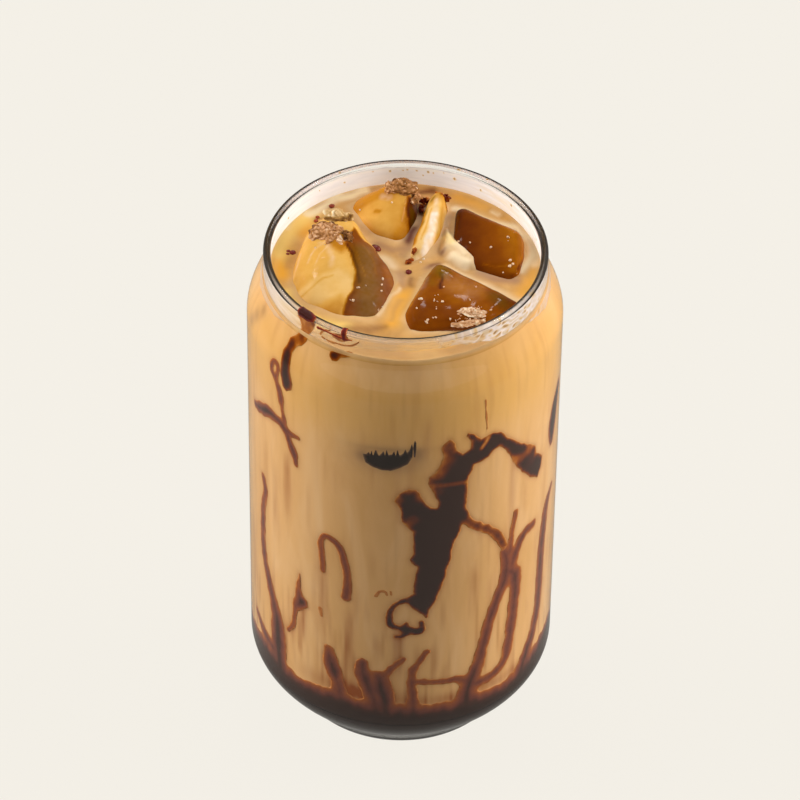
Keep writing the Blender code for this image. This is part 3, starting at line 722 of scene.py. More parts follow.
ROUGH = {"syrup_front": 0.42, "syrup_left": 0.4, "syrup_tear": 0.35, "syrup_side": 0.4}
for seed, (name, runs) in enumerate(WALL_SYRUP.items()):
    patch = PATCHES.get(name)
    film = run_film(runs, patch, rough=ROUGH.get(name, 0.25), seed=seed * 3.7,
                    thin_spots=THIN_SPOTS.get(name, ()), rich=RICH.get(name, 1.0), grow=0.1 if patch else 0.3)
    piece(name, film, [orange_syrup if name in ORANGE else syrup], [name])

# %% [markdown]
# ## The pool of syrup
# Most of the syrup has sunk and lies on the glass's floor. Its outside is the floor's curve, spun round.
# Its upper edge rises and falls round the wall, with a thin rusty film above it.

# %% The pool and the runs that climb out of it
DRINK_LEVEL = 126 * MM
DRINK_MM = DRINK_LEVEL / MM
POOL_TOP = 18 * MM
POOL_EDGE = [(-180, 21), (-150, 20), (-125, 21.5), (-100, 20.5), (-77, 22.2), (-61, 23), (-53, 21.2),
             (-41, 21), (-33, 22), (-25, 22.2), (-13, 21.4), (-5, 20.5), (0, 21.2), (4, 20.4), (16, 20.4),
             (28, 20.6), (43, 19.6), (57, 21.2), (77, 24.6), (100, 22.5), (130, 20.5), (155, 22), (180, 21)]
FILM_FOOT = 14.5
FILM_HEAD = 82.0
POOL_BODY_TOP = 19 * MM
POOL_EDGE_NOISE = (2.2, 4.2)
POOL_EDGE_WANDERS = 0.5
POOL_EDGE_LIFT = 0.25
POOL_EDGE_SLOPE = 0.75
POOL_STEPS = 30
POOL_AROUND = 240
INTO_WALL = 0.05 * MM
BACK_POOL_RUNS = [
    [(-151, 54, 1.2), (-149, 47, 1.8), (-152, 38, 2.4), (-150, 29, 3), (-149, 16, 4)],
    [(-150, 33, 1.6), (-143, 29, 1.6), (-138, 22, 2.6)],
    [(176, 45, 1.2), (174, 38, 2), (177, 30, 2.6), (176, 16, 4)],
    [(136, 60, 1.3), (138, 52, 1.8), (135, 42, 2.2), (137, 31, 2.6), (136, 16, 4)],
    [(-113, 38, 1.2), (-111, 31, 2), (-113, 23, 3), (-112, 16, 4)],
    [(99, 43, 1.2), (101, 35, 2), (99, 26, 2.6), (100, 16, 4)],
]


def round_the_wall(table, turns):
    """Values of a table of (degrees, value) at some turns, in degrees."""
    return np.interp(turns, *zip(*table))


def reach_into_pool(ways, heights):
    """Reach into the pool and the runs that climb out of it, softly joined."""
    turns = np.degrees(ways / INNER_MM)
    wanders = POOL_EDGE_WANDERS * wander(ways, heights * 0, *POOL_EDGE_NOISE)
    edge = round_the_wall(POOL_EDGE, turns) + wanders + POOL_EDGE_LIFT
    below = np.maximum((edge - heights) * POOL_EDGE_SLOPE, FAR_OUT)
    climbing = reach_into(POOL_RUNS + BACK_POOL_RUNS, ways, heights)
    return np.log(np.exp(BLEND / 2 * below) + np.exp(BLEND / 2 * climbing)) * 2 / BLEND


def syrup_pool():
    """Pool on the floor, up to a little below its edge."""
    points = [(0, FLOOR_HEIGHT - INTO_WALL)]
    for height in even(FLOOR_HEIGHT, POOL_BODY_TOP, POOL_STEPS):
        points.append((wall_radius(height) + INTO_WALL, height))
    shape = spun(points + [(0, POOL_BODY_TOP)], POOL_AROUND)
    keep(shape, thickness=1.0)
    return shape


half_way = pi * INNER_MM
piece("syrup_pool", syrup_pool(), [syrup], ["syrup_pool"])
box = (np.array((-half_way, FILM_FOOT)), np.array((half_way, FILM_HEAD)))
pool_film = wall_film(reach_into_pool, box, rough=0.4, seed=31.0, rich=0.8, grow=0.4)
piece("pool_runs", pool_film, [syrup], ["syrup_pool"])

# %% [markdown]
# ### The back of the drink
# The photo shows one side only. Syrup squeezed round a glass runs down all of it, so the back gets a few
# thin runs and smears of the same kind.

# %% Thin runs at the back
BACK_RUNS = [
    [(150, 118, 1.6), (147, 112, 2.4), (148.5, 104, 2.2), (152, 97, 1.4), (153, 91, 1.1)],
    [(147, 113, 1.4), (141, 109, 1.6), (137, 103, 1.2)],
    [(-168, 104, 2), (-172, 98, 3.2), (-178, 92, 3), (-183, 84, 2.2), (-181, 76, 1.7), (-184, 68, 1.6),
     (-183, 60, 2.2)],
    [(-178, 91, 1.6), (-172, 86, 1.6), (-169, 79, 1.2), (-170, 71, 1.3)],
    [(-126, 88, 1.2), (-128, 80, 1.7), (-125, 71, 1.6), (-127, 62, 2.2), (-131, 55, 1.4)],
    [(-108, 74, 1.2), (-107, 66, 1.5), (-110, 57, 1.4), (-109, 50, 2)],
    [(118, 86, 1.2), (116, 77, 1.7), (119, 68, 1.6), (118, 60, 2), (113, 53, 1.3)],
]
for seed, runs in enumerate((BACK_RUNS[:2], BACK_RUNS[2:4], BACK_RUNS[4:6], BACK_RUNS[6:])):
    film = run_film(runs, rough=0.35, seed=50.0 + seed, rich=0.9)
    piece(f"back_run_{seed + 1}", film, [syrup])

# %% [markdown]
# ## The milky coffee
# Coffee with milk is opaque: light goes in a few millimetres and comes back golden. The drink fills the
# glass and reaches a hair's breadth into the wall, so that no air shows between them. Its surface creeps up
# at the wall and round the ice, and stands in a low milky hump between the lumps. Syrup has stained it in
# soft vertical smears, which are kept as a number on each point.

# %% Where the ice meets the surface
ICE_LEFT = [(-24.3, 3.2), (-26.6, -5), (-23.5, -12.5), (-14.4, -17), (-7.4, -18), (-5.2, -16.2),
            (-1.5, -3.3), (-6.8, 6.6), (-12, 16.2), (-19.3, 17), (-23.3, 9.5)]
ICE_BACK = [(-13.6, 23), (-10.5, 17.5), (-7, 12.5), (-1.6, 10.5), (1, 13.1), (2.6, 21.5), (2, 26.5),
            (-4.5, 27.3), (-10, 26)]
ICE_SHARD = [(5, 24.6), (9.6, 23.4), (8.9, 17.8), (7.1, 10.7), (4.2, 5.2), (0.6, 4.6), (2, 8.5), (4, 18)]
ICE_RIGHT = [(11.8, 22.4), (27, 11), (26.8, 4.5), (24.6, -0.9), (16, 1), (14.6, 6), (10.9, 12)]
ICE_FRONT = [(4.9, -1.6), (7.8, 2), (11.4, 0.3), (25.4, -11.2), (22.6, -16.8), (19, -19.1), (7.9, -21.3),
             (2, -21.1), (-0.5, -16.7)]
OUTLINES = {"ice_left": ICE_LEFT, "ice_back": ICE_BACK, "ice_shard": ICE_SHARD, "ice_right": ICE_RIGHT,
            "ice_front": ICE_FRONT}
print("lumps in the surface:", len(OUTLINES))

# %% Stains and smears on the drink
SMEARS = [(-48.8, 92, 68, 2.2, 0.35), (-56, 86, 58, 2.0, 0.18), (-63, 90, 66, 2.4, 0.15),
          (-31.5, 64, 36, 1.8, 0.35), (-20.1, 53, 26, 2.2, 0.35), (-26, 44, 30, 1.6, 0.2),
          (-40.2, 50, 33, 1.8, 0.3), (-46, 40, 26, 1.8, 0.25), (-1.1, 50, 25, 2.4, 0.35),
          (-9, 46, 30, 1.8, 0.2), (29, 66, 44, 1.8, 0.22), (36, 60, 40, 1.6, 0.15), (45, 94, 66, 1.8, 0.25),
          (53, 84, 66, 1.6, 0.15), (9, 115, 98, 2.8, 0.15), (100, 80, 50, 3, 0.25),
          (128, 95, 60, 2.6, 0.25), (150, 60, 30, 3, 0.3), (-170, 90, 48, 3, 0.25), (-140, 70, 32, 3, 0.3),
          (-112, 100, 70, 2.6, 0.2)]
SMEAR_FADES = (6, 12)
SMEAR_STRENGTH = 1.6
SOAKED = [(-22, 24.5, 9, 3.2, 0.9), (-8, 24, 6, 2.6, 0.8), (16, 22.5, 12, 2, 0.5), (45, 22, 14, 2, 0.5)]
HALO = 0.55
HALO_WIDTH = 0.55
HALO_REACH = 9
RAGGED_NOISE = (1.1, 12.5, 9)
SMEAR_RAGGED = (0.4, 1.1)
SOAKED_RAGGED = (0.5, 0.7)
STREAKS = (0.12, 0.3)
STREAKS_NOISE = (1.2, 41.5, 11)
STREAKS_CONTRAST = (2.2, 0.25)
STREAKS_TOP = 62
STREAKS_FADE = 30


def stains(ways, heights):
    """How strongly syrup has stained the drink at spots of the wall, from 0 to 1.

    Smears run down from the syrup, the drink is soaked above the pool, each run has a halo, and faint streaks
    get stronger towards the pool."""
    ragged = 0.5 + 0.5 * wander(ways, heights, *RAGGED_NOISE)
    stained = np.zeros(len(ways))
    for turn, top, bottom, width, share in SMEARS:
        aside = np.exp(-((ways - radians(turn) * INNER_MM) / (width / 2)) ** 2)
        above, below = (top - heights) / SMEAR_FADES[0], (heights - bottom) / SMEAR_FADES[1]
        fade = np.clip(above, 0, 1) * np.clip(below, 0, 1)
        stained += SMEAR_STRENGTH * share * aside * fade * (SMEAR_RAGGED[0] + SMEAR_RAGGED[1] * ragged)
    for turn, height, wide, high, share in SOAKED:
        away = ((ways - radians(turn) * INNER_MM) / wide) ** 2 + ((heights - height) / high) ** 2
        stained += share * np.exp(-away) * (SOAKED_RAGGED[0] + SOAKED_RAGGED[1] * ragged)
    every_run = POOL_RUNS + BACK_RUNS + BACK_POOL_RUNS + [run for runs in WALL_SYRUP.values() for run in runs]
    away = -np.maximum(reach_into(every_run, ways, heights, FRONT_PATCH),
                       reach_into([], ways, heights, TEAR_PATCH))
    away = np.minimum(away, -reach_into(BACK_RUNS, ways - 2 * half_way, heights))
    stained += HALO * np.exp(-np.clip(away, 0, HALO_REACH) / HALO_WIDTH)
    low = STREAKS[0] + STREAKS[1] * np.clip((STREAKS_TOP - heights) / STREAKS_FADE, 0, 1)
    streaks = STREAKS_CONTRAST[0] * wander(ways, heights, *STREAKS_NOISE) - STREAKS_CONTRAST[1]
    stained += low * np.clip(streaks, 0, 1)
    return np.clip(stained, 0, 1)


# GOLDEN is painted light: it makes the top of the body lighter and more golden all round, where light from
# above comes in.
GOLDEN = [(0, 114, 60, 9, 0.4), (40, 110, 30, 12, 0.3), (-30, 110, 20, 8, 0.2), (120, 110, 40, 10, 0.4),
          (-130, 112, 40, 10, 0.4)]
SHADES = [(-79, 116.5, 1.8, 1.7, 0.5), (-76, 119.2, 1.8, 1.7, 0.5), (-72.6, 122, 1.6, 1.6, 0.45),
          (-4.5, 98, 6.5, 2.4, 0.4), (-15.4, 100.3, 1.7, 1.8, 0.5), (5.4, 101.4, 1.8, 2.2, 0.55),
          (-5, 102.8, 7, 0.9, 0.4), (-9, 101, 9, 5, 0.2),
          (140, 85, 14, 12, 0.25), (-160, 95, 12, 10, 0.2)]


def soft_spots(table, ways, heights):
    """Sum of soft spots of (degrees, height, wide, high, share) at places of the wall, from 0 to 1."""
    total = np.zeros(len(ways))
    for turn, height, wide, high, share in table:
        aside = (ways - radians(turn) * INNER_MM + half_way) % (2 * half_way) - half_way
        total += share * np.exp(-(aside / wide) ** 2 - ((heights - height) / high) ** 2)
    return np.clip(total, 0, 1)


# %% [markdown]
# The surface isn't one colour. Milk gathers along the wall and the ice, thin golden coffee pools between
# them, and yellow lies where thin coffee covers the sunk foot of a lump. Along the left wall the golden
# and yellow strokes are painted light, where light comes in through the glass, and the cream stroke along
# the left back edge is partly a painted highlight on the creeping edge. Soft lilac-brown patches lie by
# the ice, and along the back wall a few strokes are painted shade. Each tone is a list of short strokes as
# seen from above: points in mm, half width and strength.

# %% Tones of the surface
TOP_TONES = {
    # The first cream stroke, along the left back edge, is partly a painted highlight.
    "cream": [([(-9.5, 28.4), (-16, 25.4), (-22.4, 19.9)], 1.1, 1.0),
              ([(-24.4, 19.4), (-27.4, 14.4)], 0.7, 0.5), ([(-5.4, 4.6), (-3.2, 1.6)], 1.4, 0.5),
              ([(9.2, 1.6), (15, -2.4), (20.6, -6.4), (25.6, -10)], 1.1, 0.5),
              ([(3.7, -2), (2.2, -7), (0.6, -12.6)], 0.5, 0.25),
              ([(-1.8, -6.2), (-3.9, -11), (-5.8, -15.6)], 0.6, 0.45),
              ([(11, 22.8), (18.6, 18.6), (25.2, 15.4), (28.4, 11.4), (28.8, 6), (26.6, 0.6)], 1.1, 0.85),
              ([(11.4, 8.6), (13.5, 5.4)], 1.7, 0.75), ([(11, 4.6), (14, 2.4)], 1.5, 0.85),
              ([(20, 21.5), (21.5, 20.6)], 0.7, 0.6), ([(29.2, 10), (29.4, 3)], 1.4, 0.6)],
    # The first yellow stroke, along the left wall, is painted light.
    "yellow": [([(-28.8, 5.4), (-28.2, 10), (-26.2, 15.2), (-22.4, 19.4)], 2.4, 0.85),
               ([(9.2, 12), (10.6, 9.4)], 1.3, 0.8),
               ([(-27, -8), (-25, -13.4), (-19.6, -18), (-13.4, -19.4)], 1.5, 0.7)],
    # The first two golden strokes, by the left wall, are painted light.
    "golden": [([(-29, 6), (-29.2, 3), (-28.2, -2)], 2.6, 0.9), ([(-22.6, 14), (-25, 17.4)], 3, 0.9),
               ([(-0.2, -6.6), (-1.2, -12), (-2.8, -18)], 2.3, 0.85), ([(27.8, -3), (26, -8)], 2, 0.6),
               ([(12, 26.4), (18, 23.4), (23.4, 19.4)], 1.8, 0.5), ([(29.4, 3), (28.6, -2)], 1.2, 0.5),
               ([(0, -25.6), (10, -24)], 1.4, 0.4)],
    "shade": [([(-6.2, 9.4), (-3, 7.9), (0.4, 7.9)], 1.5, 0.6), ([(-1, 5.8), (0.6, 9), (1.4, 13)], 1.2, 0.5),
              ([(17.4, -0.4), (20.5, -1.9), (24.8, -2.5)], 1.4, 0.8),
              ([(2.4, 12), (3.4, 18), (4.2, 23)], 1.2, 0.7), ([(8.6, 13), (9.7, 19.4)], 0.9, 0.5),
              ([(-26.8, 1.4), (-26.4, 4)], 1, 0.3), ([(8.2, 7.1)], 1.4, 0.7),
              ([(-1.4, -1), (-0.6, -5)], 1.6, 0.65), ([(4.6, 1.6), (7, 1.4)], 1, 0.7),
              # These two shade strokes, along the back wall, are painted shade.
              ([(-12, 28.4), (-6, 29.4)], 1.2, 0.35), ([(19.6, 22), (22.6, 19.8)], 1, 0.35),
              ([(-1, -10), (-3, -17)], 0.8, 0.3)],
    "stain": [([(8.2, 7.1)], 0.7, 0.6), ([(-12.6, -20.2), (-8, -20.6), (-4.4, -19.4)], 1.1, 0.45),
              # The stroke from (3.6, 28.6) to (6.4, 28.9), along the back wall, is painted shade.
              ([(-20.5, 18.2)], 1.1, 0.3), ([(3.6, 28.6), (6.4, 28.9)], 1.1, 0.9),
              ([(1.5, -2.6), (1.3, -5)], 0.8, 0.55), ([(5.4, 1.9), (7.4, 2.5)], 0.8, 0.6),
              ([(1.8, 15.4), (1.2, 12.6), (0.5, 10.4)], 1.1, 1.0), ([(2, 25.6), (3.6, 26.4)], 0.6, 0.8)],
}
TONE_WANDERS = 0.7
TONE_NOISES = [(3.2, 44.5), (3.2, 47.5)]


def top_tone(strokes, x, y):
    """How strong a tone is at spots of the surface, from 0 to 1; its edges wander a little."""
    x = x + TONE_WANDERS * wander(x, y, *TONE_NOISES[0])
    y = y + TONE_WANDERS * wander(x, y, *TONE_NOISES[1])
    total = np.zeros(len(x))
    for path, width, share in strokes:
        total = np.maximum(total, share * np.exp(-(near_path(path, x, y) / width) ** 2))
    return total


# %% The body of the drink
HUMP = [(9.2, 14.8), (11, 11), (13.4, 7.6), (15.6, 4), (15.6, 1), (13, 1.8), (10.4, 4), (8.4, 7.4)]
CREEP = (0.8, 0.9)
WALL_CREAM = (0.25, 0.8)
ICE_CREEP = (0.25, 0.7)
ICE_CREAM = {"ice_left": 0.15}
ICE_CREAM_WIDTH = 0.9
HUMP_SOFTNESS = 1.8
HUMP_HEIGHT = 1.3
HUMP_CREAM = 0.35
WAVES = [(0.25, 9, 2.5), (0.08, 3.5, 7.5)]
TOP_DEPTH = 0.3 * MM
SURFACE_RINGS = 46
SIDE_RINGS = 150
DRINK_AROUND = 320
SWIRLS_PER_MM = 0.12
RIPPLES_PER_MM = 0.9


def drink_shape():
    """Drink with its creeping edges, low waves and the stains of syrup.

    CREEP, WALL_CREAM and ICE_CREEP give a height or a strength, and the mm in which it fades."""
    surface = [(t * wall_radius(DRINK_LEVEL), DRINK_LEVEL) for t in even(0, 1, SURFACE_RINGS)]
    side = [(wall_radius(height) + INTO_WALL, height)
            for height in even(DRINK_LEVEL, POOL_TOP, SIDE_RINGS)[1:]]
    shape = spun(surface + side + [(0, POOL_TOP)], DRINK_AROUND)
    x, y, z = spots_of(shape)
    radius = np.hypot(x, y)
    top = (z > DRINK_MM - 0.01)
    ways = np.arctan2(x, -y) * INNER_MM
    rim = wall_radius(DRINK_LEVEL) / MM
    lift = CREEP[0] * np.exp(-(rim - radius) / CREEP[1])
    creamy = WALL_CREAM[0] * np.exp(-(rim - radius) / WALL_CREAM[1])
    for name, outline in OUTLINES.items():
        away = np.clip(outside(outline, x, y), 0, None)
        lift += ICE_CREEP[0] * np.exp(-away / ICE_CREEP[1])
        creamy += ICE_CREAM.get(name, 0.3) * np.exp(-away / ICE_CREAM_WIDTH)
    hump = np.clip(-outside(HUMP, x, y) / HUMP_SOFTNESS + 0.5, 0, 1)
    lift += HUMP_HEIGHT * hump * hump * (3 - 2 * hump)
    creamy += HUMP_CREAM * hump
    tones = {name: top_tone(strokes, x, y) for name, strokes in TOP_TONES.items()}
    creamy = np.maximum(creamy, tones["cream"]) * (1 - tones["stain"])
    waves = sum(wander(x, y, size, seed) * high for high, size, seed in WAVES)
    for vert, rise in zip(shape.verts, np.where(top, lift + waves, 0.0)):
        vert.co.z += rise * MM
    keep(shape, stain=np.where(top, tones["stain"], stains(ways, z)),
         cream=np.where(top, np.minimum(creamy, 1), 0),
         golden=np.where(top, tones["golden"], soft_spots(GOLDEN, ways, z)),
         shade=np.where(top, tones["shade"], soft_spots(SHADES, ways, z)),
         yellow=np.where(top, tones["yellow"], 0))
    for face in shape.faces:
        face.material_index = int(face.calc_center_median().z > DRINK_LEVEL - TOP_DEPTH)
    return shape


def milky_coffee(name, codes, gloss, **tones):
    """Opaque coffee with milk; codes are its hex colours for dark swirl, body and pale swirl.

    Each tone is the colour that a number of the same name on the points mixes in."""
    material = blank(name)
    place = add(material, "TexCoord").outputs["Object"]
    drawn = add(material, "Mapping", {"Vector": place, "Scale": (1, 1, 0.22)})
    swirl = add(material, "TexNoise", {"Vector": drawn, "Scale": SWIRLS_PER_MM / MM, "Detail": 4.0,
                                       "Roughness": 0.55, "Distortion": 0.6})
    body = add(material, "ValToRGB", {"Fac": swirl}, stops=list(zip((0.3, 0.5, 0.72), codes)))
    fine = add(material, "TexNoise", {"Vector": place, "Scale": RIPPLES_PER_MM / MM, "Detail": 2.0})
    bump = add(material, "Bump", {"Strength": 0.15, "Distance": 0.2 * MM, "Height": fine})
    surface = add(material, "BsdfPrincipled", {"Base Color": mix_tones(material, body, tones),
                                               "Roughness": 0.3, "IOR": 1.34,
                                               "Specular IOR Level": gloss, "Normal": bump})
    add(material, "OutputMaterial", {"Surface": surface})
    return material


# The golden and yellow tones mix painted light into the coffee's colour, and the stain tone a little painted
# shade into the syrup stains.
coffee = milky_coffee("milky_coffee", ["dca766", "e4b072", "ebbc84"], 0.05,
                      golden="e6ae58", shade="8a664a", stain="9c4f1a", cream="f6dcb2")
coffee_top = milky_coffee("milky_coffee_surface", ["bd8a4a", "cc9754", "dcaa66"], 0.25,
                          golden="f2aa2c", yellow="ffd878", shade="a27456", stain="6c3014", cream="fee8c0")
piece("drink", drink_shape(), [coffee, coffee_top], ["drink"])

# %% [markdown]
# ### Drops of syrup
# A few drops have fallen on the drink and float there, half sunk. A squashed ball would look too neat, so
# each is an icosphere bent by noise and flattened. Small drops are thin and show more orange.

# %% Drops of syrup on the surface
DROPS = [(-7, 8, 1.1, 0.45), (-8.2, 8.5, 0.5, 0.3), (-6.3, 7.5, 0.7, 0.3), (0.7, -0.3, 0.75, 0.42),
         (-17.2, 22.9, 0.65, 0.16), (-25.8, 6, 0.75, 0.3), (-26.8, 6.5, 0.45, 0.2), (-26.9, 5.5, 0.4, 0.2),
         (-20.4, 18.8, 0.5, 0.06), (-20.7, 17.5, 0.55, 0.06), (-23.3, 7.8, 0.25, 0.1), (-22.7, 8.5, 0.2, 0.1)]
DROP_FLATNESS = 0.45
DROP_LIFT = 0.15 * MM
DROP_BUMPS = 0.22
DROP_BUMPS_FINE = 1.3


def syrup_drops():
    """Flattened drops, half sunk in the surface, each a little uneven."""
    shape = bmesh.new()
    layer = shape.verts.layers.float.new("thickness")
    for x, y, radius, thickness in DROPS:
        made = bmesh.ops.create_icosphere(shape, subdivisions=3, radius=radius * MM)["verts"]
        for vert in made:
            way = vert.co / (radius * MM)
            vert.co *= 1 + DROP_BUMPS * noise.noise(way * DROP_BUMPS_FINE + Vector((x, y, 0)))
            vert[layer] = thickness
        bmesh.ops.scale(shape, verts=made, vec=(1, 1, DROP_FLATNESS))
        bmesh.ops.translate(shape, verts=made, vec=(x * MM, y * MM, DRINK_LEVEL + DROP_LIFT))
    return shape


piece("syrup_drops", syrup_drops(), [wet_syrup], ["drink"])

# %% [markdown]
# ## What clings to the wall above the drink
# The glass has been tilted, so a thin film of milk has stayed on the wall up to the lip. At the front right
# it is foam: pale ridges with brown gaps between them. It is one closed skin, 0.15 mm thick. Two numbers on
# each point say how pale it is and how much it covers.

# %% Where the milk film lies
FILM_EDGE = [(-180, 126.4), (-110, 125.5), (-85, 123.6), (-65, 124.2), (-50, 126), (-30, 127.6), (-10, 129.1),
             (10, 129.6), (21, 129.4), (42, 126.8), (60, 125), (73, 123.4), (90, 124), (120, 125.5),
             (180, 126.4)]
FILM_EDGE_WANDERS = 0.35
FILM_EDGE_NOISE = (3.5, 15.2)
FILM_TOP = 131.9
FILM_LOOK = [(-180, 0.76, 0.95), (-110, 0.68, 0.9), (-65, 0.6, 0.55), (-25, 0.45, 0.15), (12, 0.45, 0.2),
             (45, 0.56, 0.55), (110, 0.66, 0.9), (135, 0.62, 0.9), (180, 0.76, 0.95)]
FILM_BOX = (122.0, 133.0)
FILM_THICKNESS = 0.15
FILM_INTO_GLASS = 0.06
FOAM_MIDDLE = 44
FOAM_REACH = 24
FOAM_RIDGES = (2.2, 3.3, 0.6)
FOAM_GAPS = (1.7, 8.8, 0.6)
RIDGE_SHARPNESS = 4
GAP_CONTRAST = (2.2, 0.1)
FOAM_EDGE = (0.5, 0.3)
STREAK_NOISE = (5, 22.5, 0.12)
PALE_SHARES = (0.06, 0.3, -0.55, 0.15)
COVER_SHARES = (0.1, 0.22, 0.3, 0.1)
SPECK_DARKENS = 0.62
SPECK_COVERS = 0.4
SPECK_SOFTNESS = 1.4
SPECKS = [(-172.7, 130.8, 0.32), (-178.3, 130.9, 0.22), (179.8, 131.1, 0.28), (175.7, 130.9, 0.26),
          (170.7, 130.8, 0.36), (168.5, 130.7, 0.22), (172.9, 129.6, 0.24), (163.7, 131.3, 0.2),
          (158.8, 130.2, 0.34), (-165.1, 131.2, 0.24), (-152, 129.9, 0.26), (-139, 130.6, 0.2),
          (146, 129.5, 0.26), (128, 130.4, 0.3), (104, 129.8, 0.26), (-118, 129.4, 0.3), (-97, 130.6, 0.24)]


def reach_into_film(ways, heights):
    """Reach into the milk film on the wall: positive between its wandering lower edge and the lip."""
    edge = round_the_wall(FILM_EDGE, np.degrees(ways / INNER_MM))
    edge = edge + FILM_EDGE_WANDERS * wander(ways, heights * 0, *FILM_EDGE_NOISE)
    return np.minimum(heights - edge, FILM_TOP - heights)


def on_film(way, height, depth):
    """Place of a spot of the film, a little less deep in the wall than the syrup."""
    return on_wall(way, height, depth + INTO_GLASS - FILM_INTO_GLASS)


def milk_film_shape():
    """The film, its paleness and cover changed by streaks, foam ridges, gaps and its upper edge.

    PALE_SHARES and COVER_SHARES hold how much each of these four adds. The noises are given by size in mm,
    seed and stretch."""
    box = (np.array((-half_way, FILM_BOX[0])), np.array((half_way, FILM_BOX[1])))
    shape = wall_film(reach_into_film, box, thickness=FILM_THICKNESS, rough=0.2, seed=61.0, cell=0.3,
                      grow=0.0, rounding=0.3, place=on_film)
    x, y, heights = spots_of(shape)
    ways = np.arctan2(x, -y) * INNER_MM
    turns = np.degrees(ways / INNER_MM)
    foam = np.exp(-((turns - FOAM_MIDDLE) / FOAM_REACH) ** 2)
    angles, *columns = zip(*FILM_LOOK)
    ridge = np.clip(1 - RIDGE_SHARPNESS * abs(wander(ways, heights, *FOAM_RIDGES)), 0, 1)
    gap = GAP_CONTRAST[0] * wander(ways, heights, *FOAM_GAPS) - GAP_CONTRAST[1]
    gap = np.clip(gap, 0, 1) * (1 - ridge)
    rim = np.exp(-((FILM_TOP - FOAM_EDGE[0] - heights) / FOAM_EDGE[1]) ** 2)
    drawn = wander(ways, heights, *STREAK_NOISE)
    pale, cover = (
        np.interp(turns, angles, column) + streaks * drawn
        + foam * (ridges * ridge + gaps * gap) + edges * rim
        for column, (streaks, ridges, gaps, edges) in zip(columns, (PALE_SHARES, COVER_SHARES)))
    for turn, height, radius in SPECKS:
        near = np.hypot((turns - turn) * pi / 180 * INNER_MM, heights - height)
        dot = np.clip(SPECK_SOFTNESS - near / radius, 0, 1)
        pale -= SPECK_DARKENS * dot
        cover += SPECK_COVERS * dot
    keep(shape, pale=np.clip(pale, 0, 1), cover=np.clip(cover, 0, 0.95))
    return shape


# %% [markdown]
# ### Milk film
# Drops of fat and tiny bubbles scatter light, so even a film thinner than paper looks whitish. More than
# half of the light comes through from behind, which is why it stays bright where no lamp reaches it. Its
# lilac-white tint, where it is palest at the back, is painted light. The cover mixes this skin with nothing
# at all.

# %% Milk film
FILM_GLOW = 0.6
# The lilac-white stop is painted light, the tint of the light on the palest film at the back.
MILK_STOPS = [(0.0, "86684a"), (0.28, "c49f70"), (0.48, "efd6a8"), (0.68, "f3eef2"), (1.0, "fff8ee")]


def thin_milk():
    """Whitish see-through film of milk, brown in the gaps of its foam."""
    material = blank("thin_milk_film")
    pale = add(material, "Attribute", attribute_name="pale").outputs["Fac"]
    cover = add(material, "Attribute", attribute_name="cover").outputs["Fac"]
    shade = add(material, "ValToRGB", {"Fac": pale}, stops=MILK_STOPS)
    skin = add(material, "BsdfPrincipled", {"Base Color": shade, "Roughness": 0.5, "IOR": 1.34,
                                            "Specular IOR Level": 0.2})
    glow = add(material, "BsdfTranslucent", {"Color": shade})
    film = add(material, "MixShader", {0: FILM_GLOW, 1: skin, 2: glow})
    clear = add(material, "BsdfTransparent")
    seen = add(material, "MixShader", {0: cover, 1: clear, 2: film})
    add(material, "OutputMaterial", {"Surface": lets_light_through(material, seen, "f4efe8")})
    return material


piece("milk_film", milk_film_shape(), [thin_milk()])

# %% [markdown]
# ### Marks on the lip
# Two spots of syrup have run over the lip. They are cut like the runs on the wall, but wrapped round the
# lip: the second number of a point is the way in mm from the crest of the lip, outwards and then down.

# %% Marks on the lip
LIP_QUARTER = LIP_RADIUS * pi / 2 / MM
INTO_LIP = 0.02
LIP_OUTLINES = [
    [(-47.6, -0.8), (-42.5, -0.9), (-38.4, 0.1), (-38.7, 1.6), (-42.2, 2.2), (-47.2, 2.2), (-48, 1)],
    [(-25.9, -0.6), (-23.9, -0.8), (-23.6, 2.6), (-24.4, 3.2), (-25.6, 3), (-26.1, 1.4)],
]
LIP_LINE = [(-36.8, 2.3, 0.7), (-33, 2.2, 0.6), (-29, 2.35, 0.5), (-24.4, 2.5, 0.9), (-21.4, 2.3, 0.4)]


def on_lip(way, along, depth):
    """Place of a spot of the lip: way round, way outwards from its crest, and depth into the glass, in mm."""
    turn = min(max(along / LIP_QUARTER, -1), 1) * pi / 2
    past = max(abs(along) - LIP_QUARTER, 0) * MM
    from_middle = LIP_RADIUS + (INTO_LIP - depth) * MM
    radius = LIP_MIDDLE + from_middle * sin(turn)
    height = GLASS_HEIGHT - LIP_RADIUS + from_middle * cos(turn) - past
    return radius * sin(way / INNER_MM), -radius * cos(way / INNER_MM), height


def reach_into_marks(ways, alongs):
    """Reach into the two marks on the lip and the thin line between them."""
    best = reach_into([LIP_LINE], ways, alongs)
    for outline in LIP_OUTLINES:
        best = np.maximum(best, reach_into([], ways, alongs, outline))
    return best


box = runs_box([LIP_LINE], LIP_OUTLINES[0] + LIP_OUTLINES[1])
lip_marks = wall_film(reach_into_marks, box, thickness=-0.22, rough=0.15, seed=71.0, cell=0.15, rich=3,
                      grow=0.0, rounding=0.5, place=on_lip)
piece("lip_marks", lip_marks, [wet_syrup])
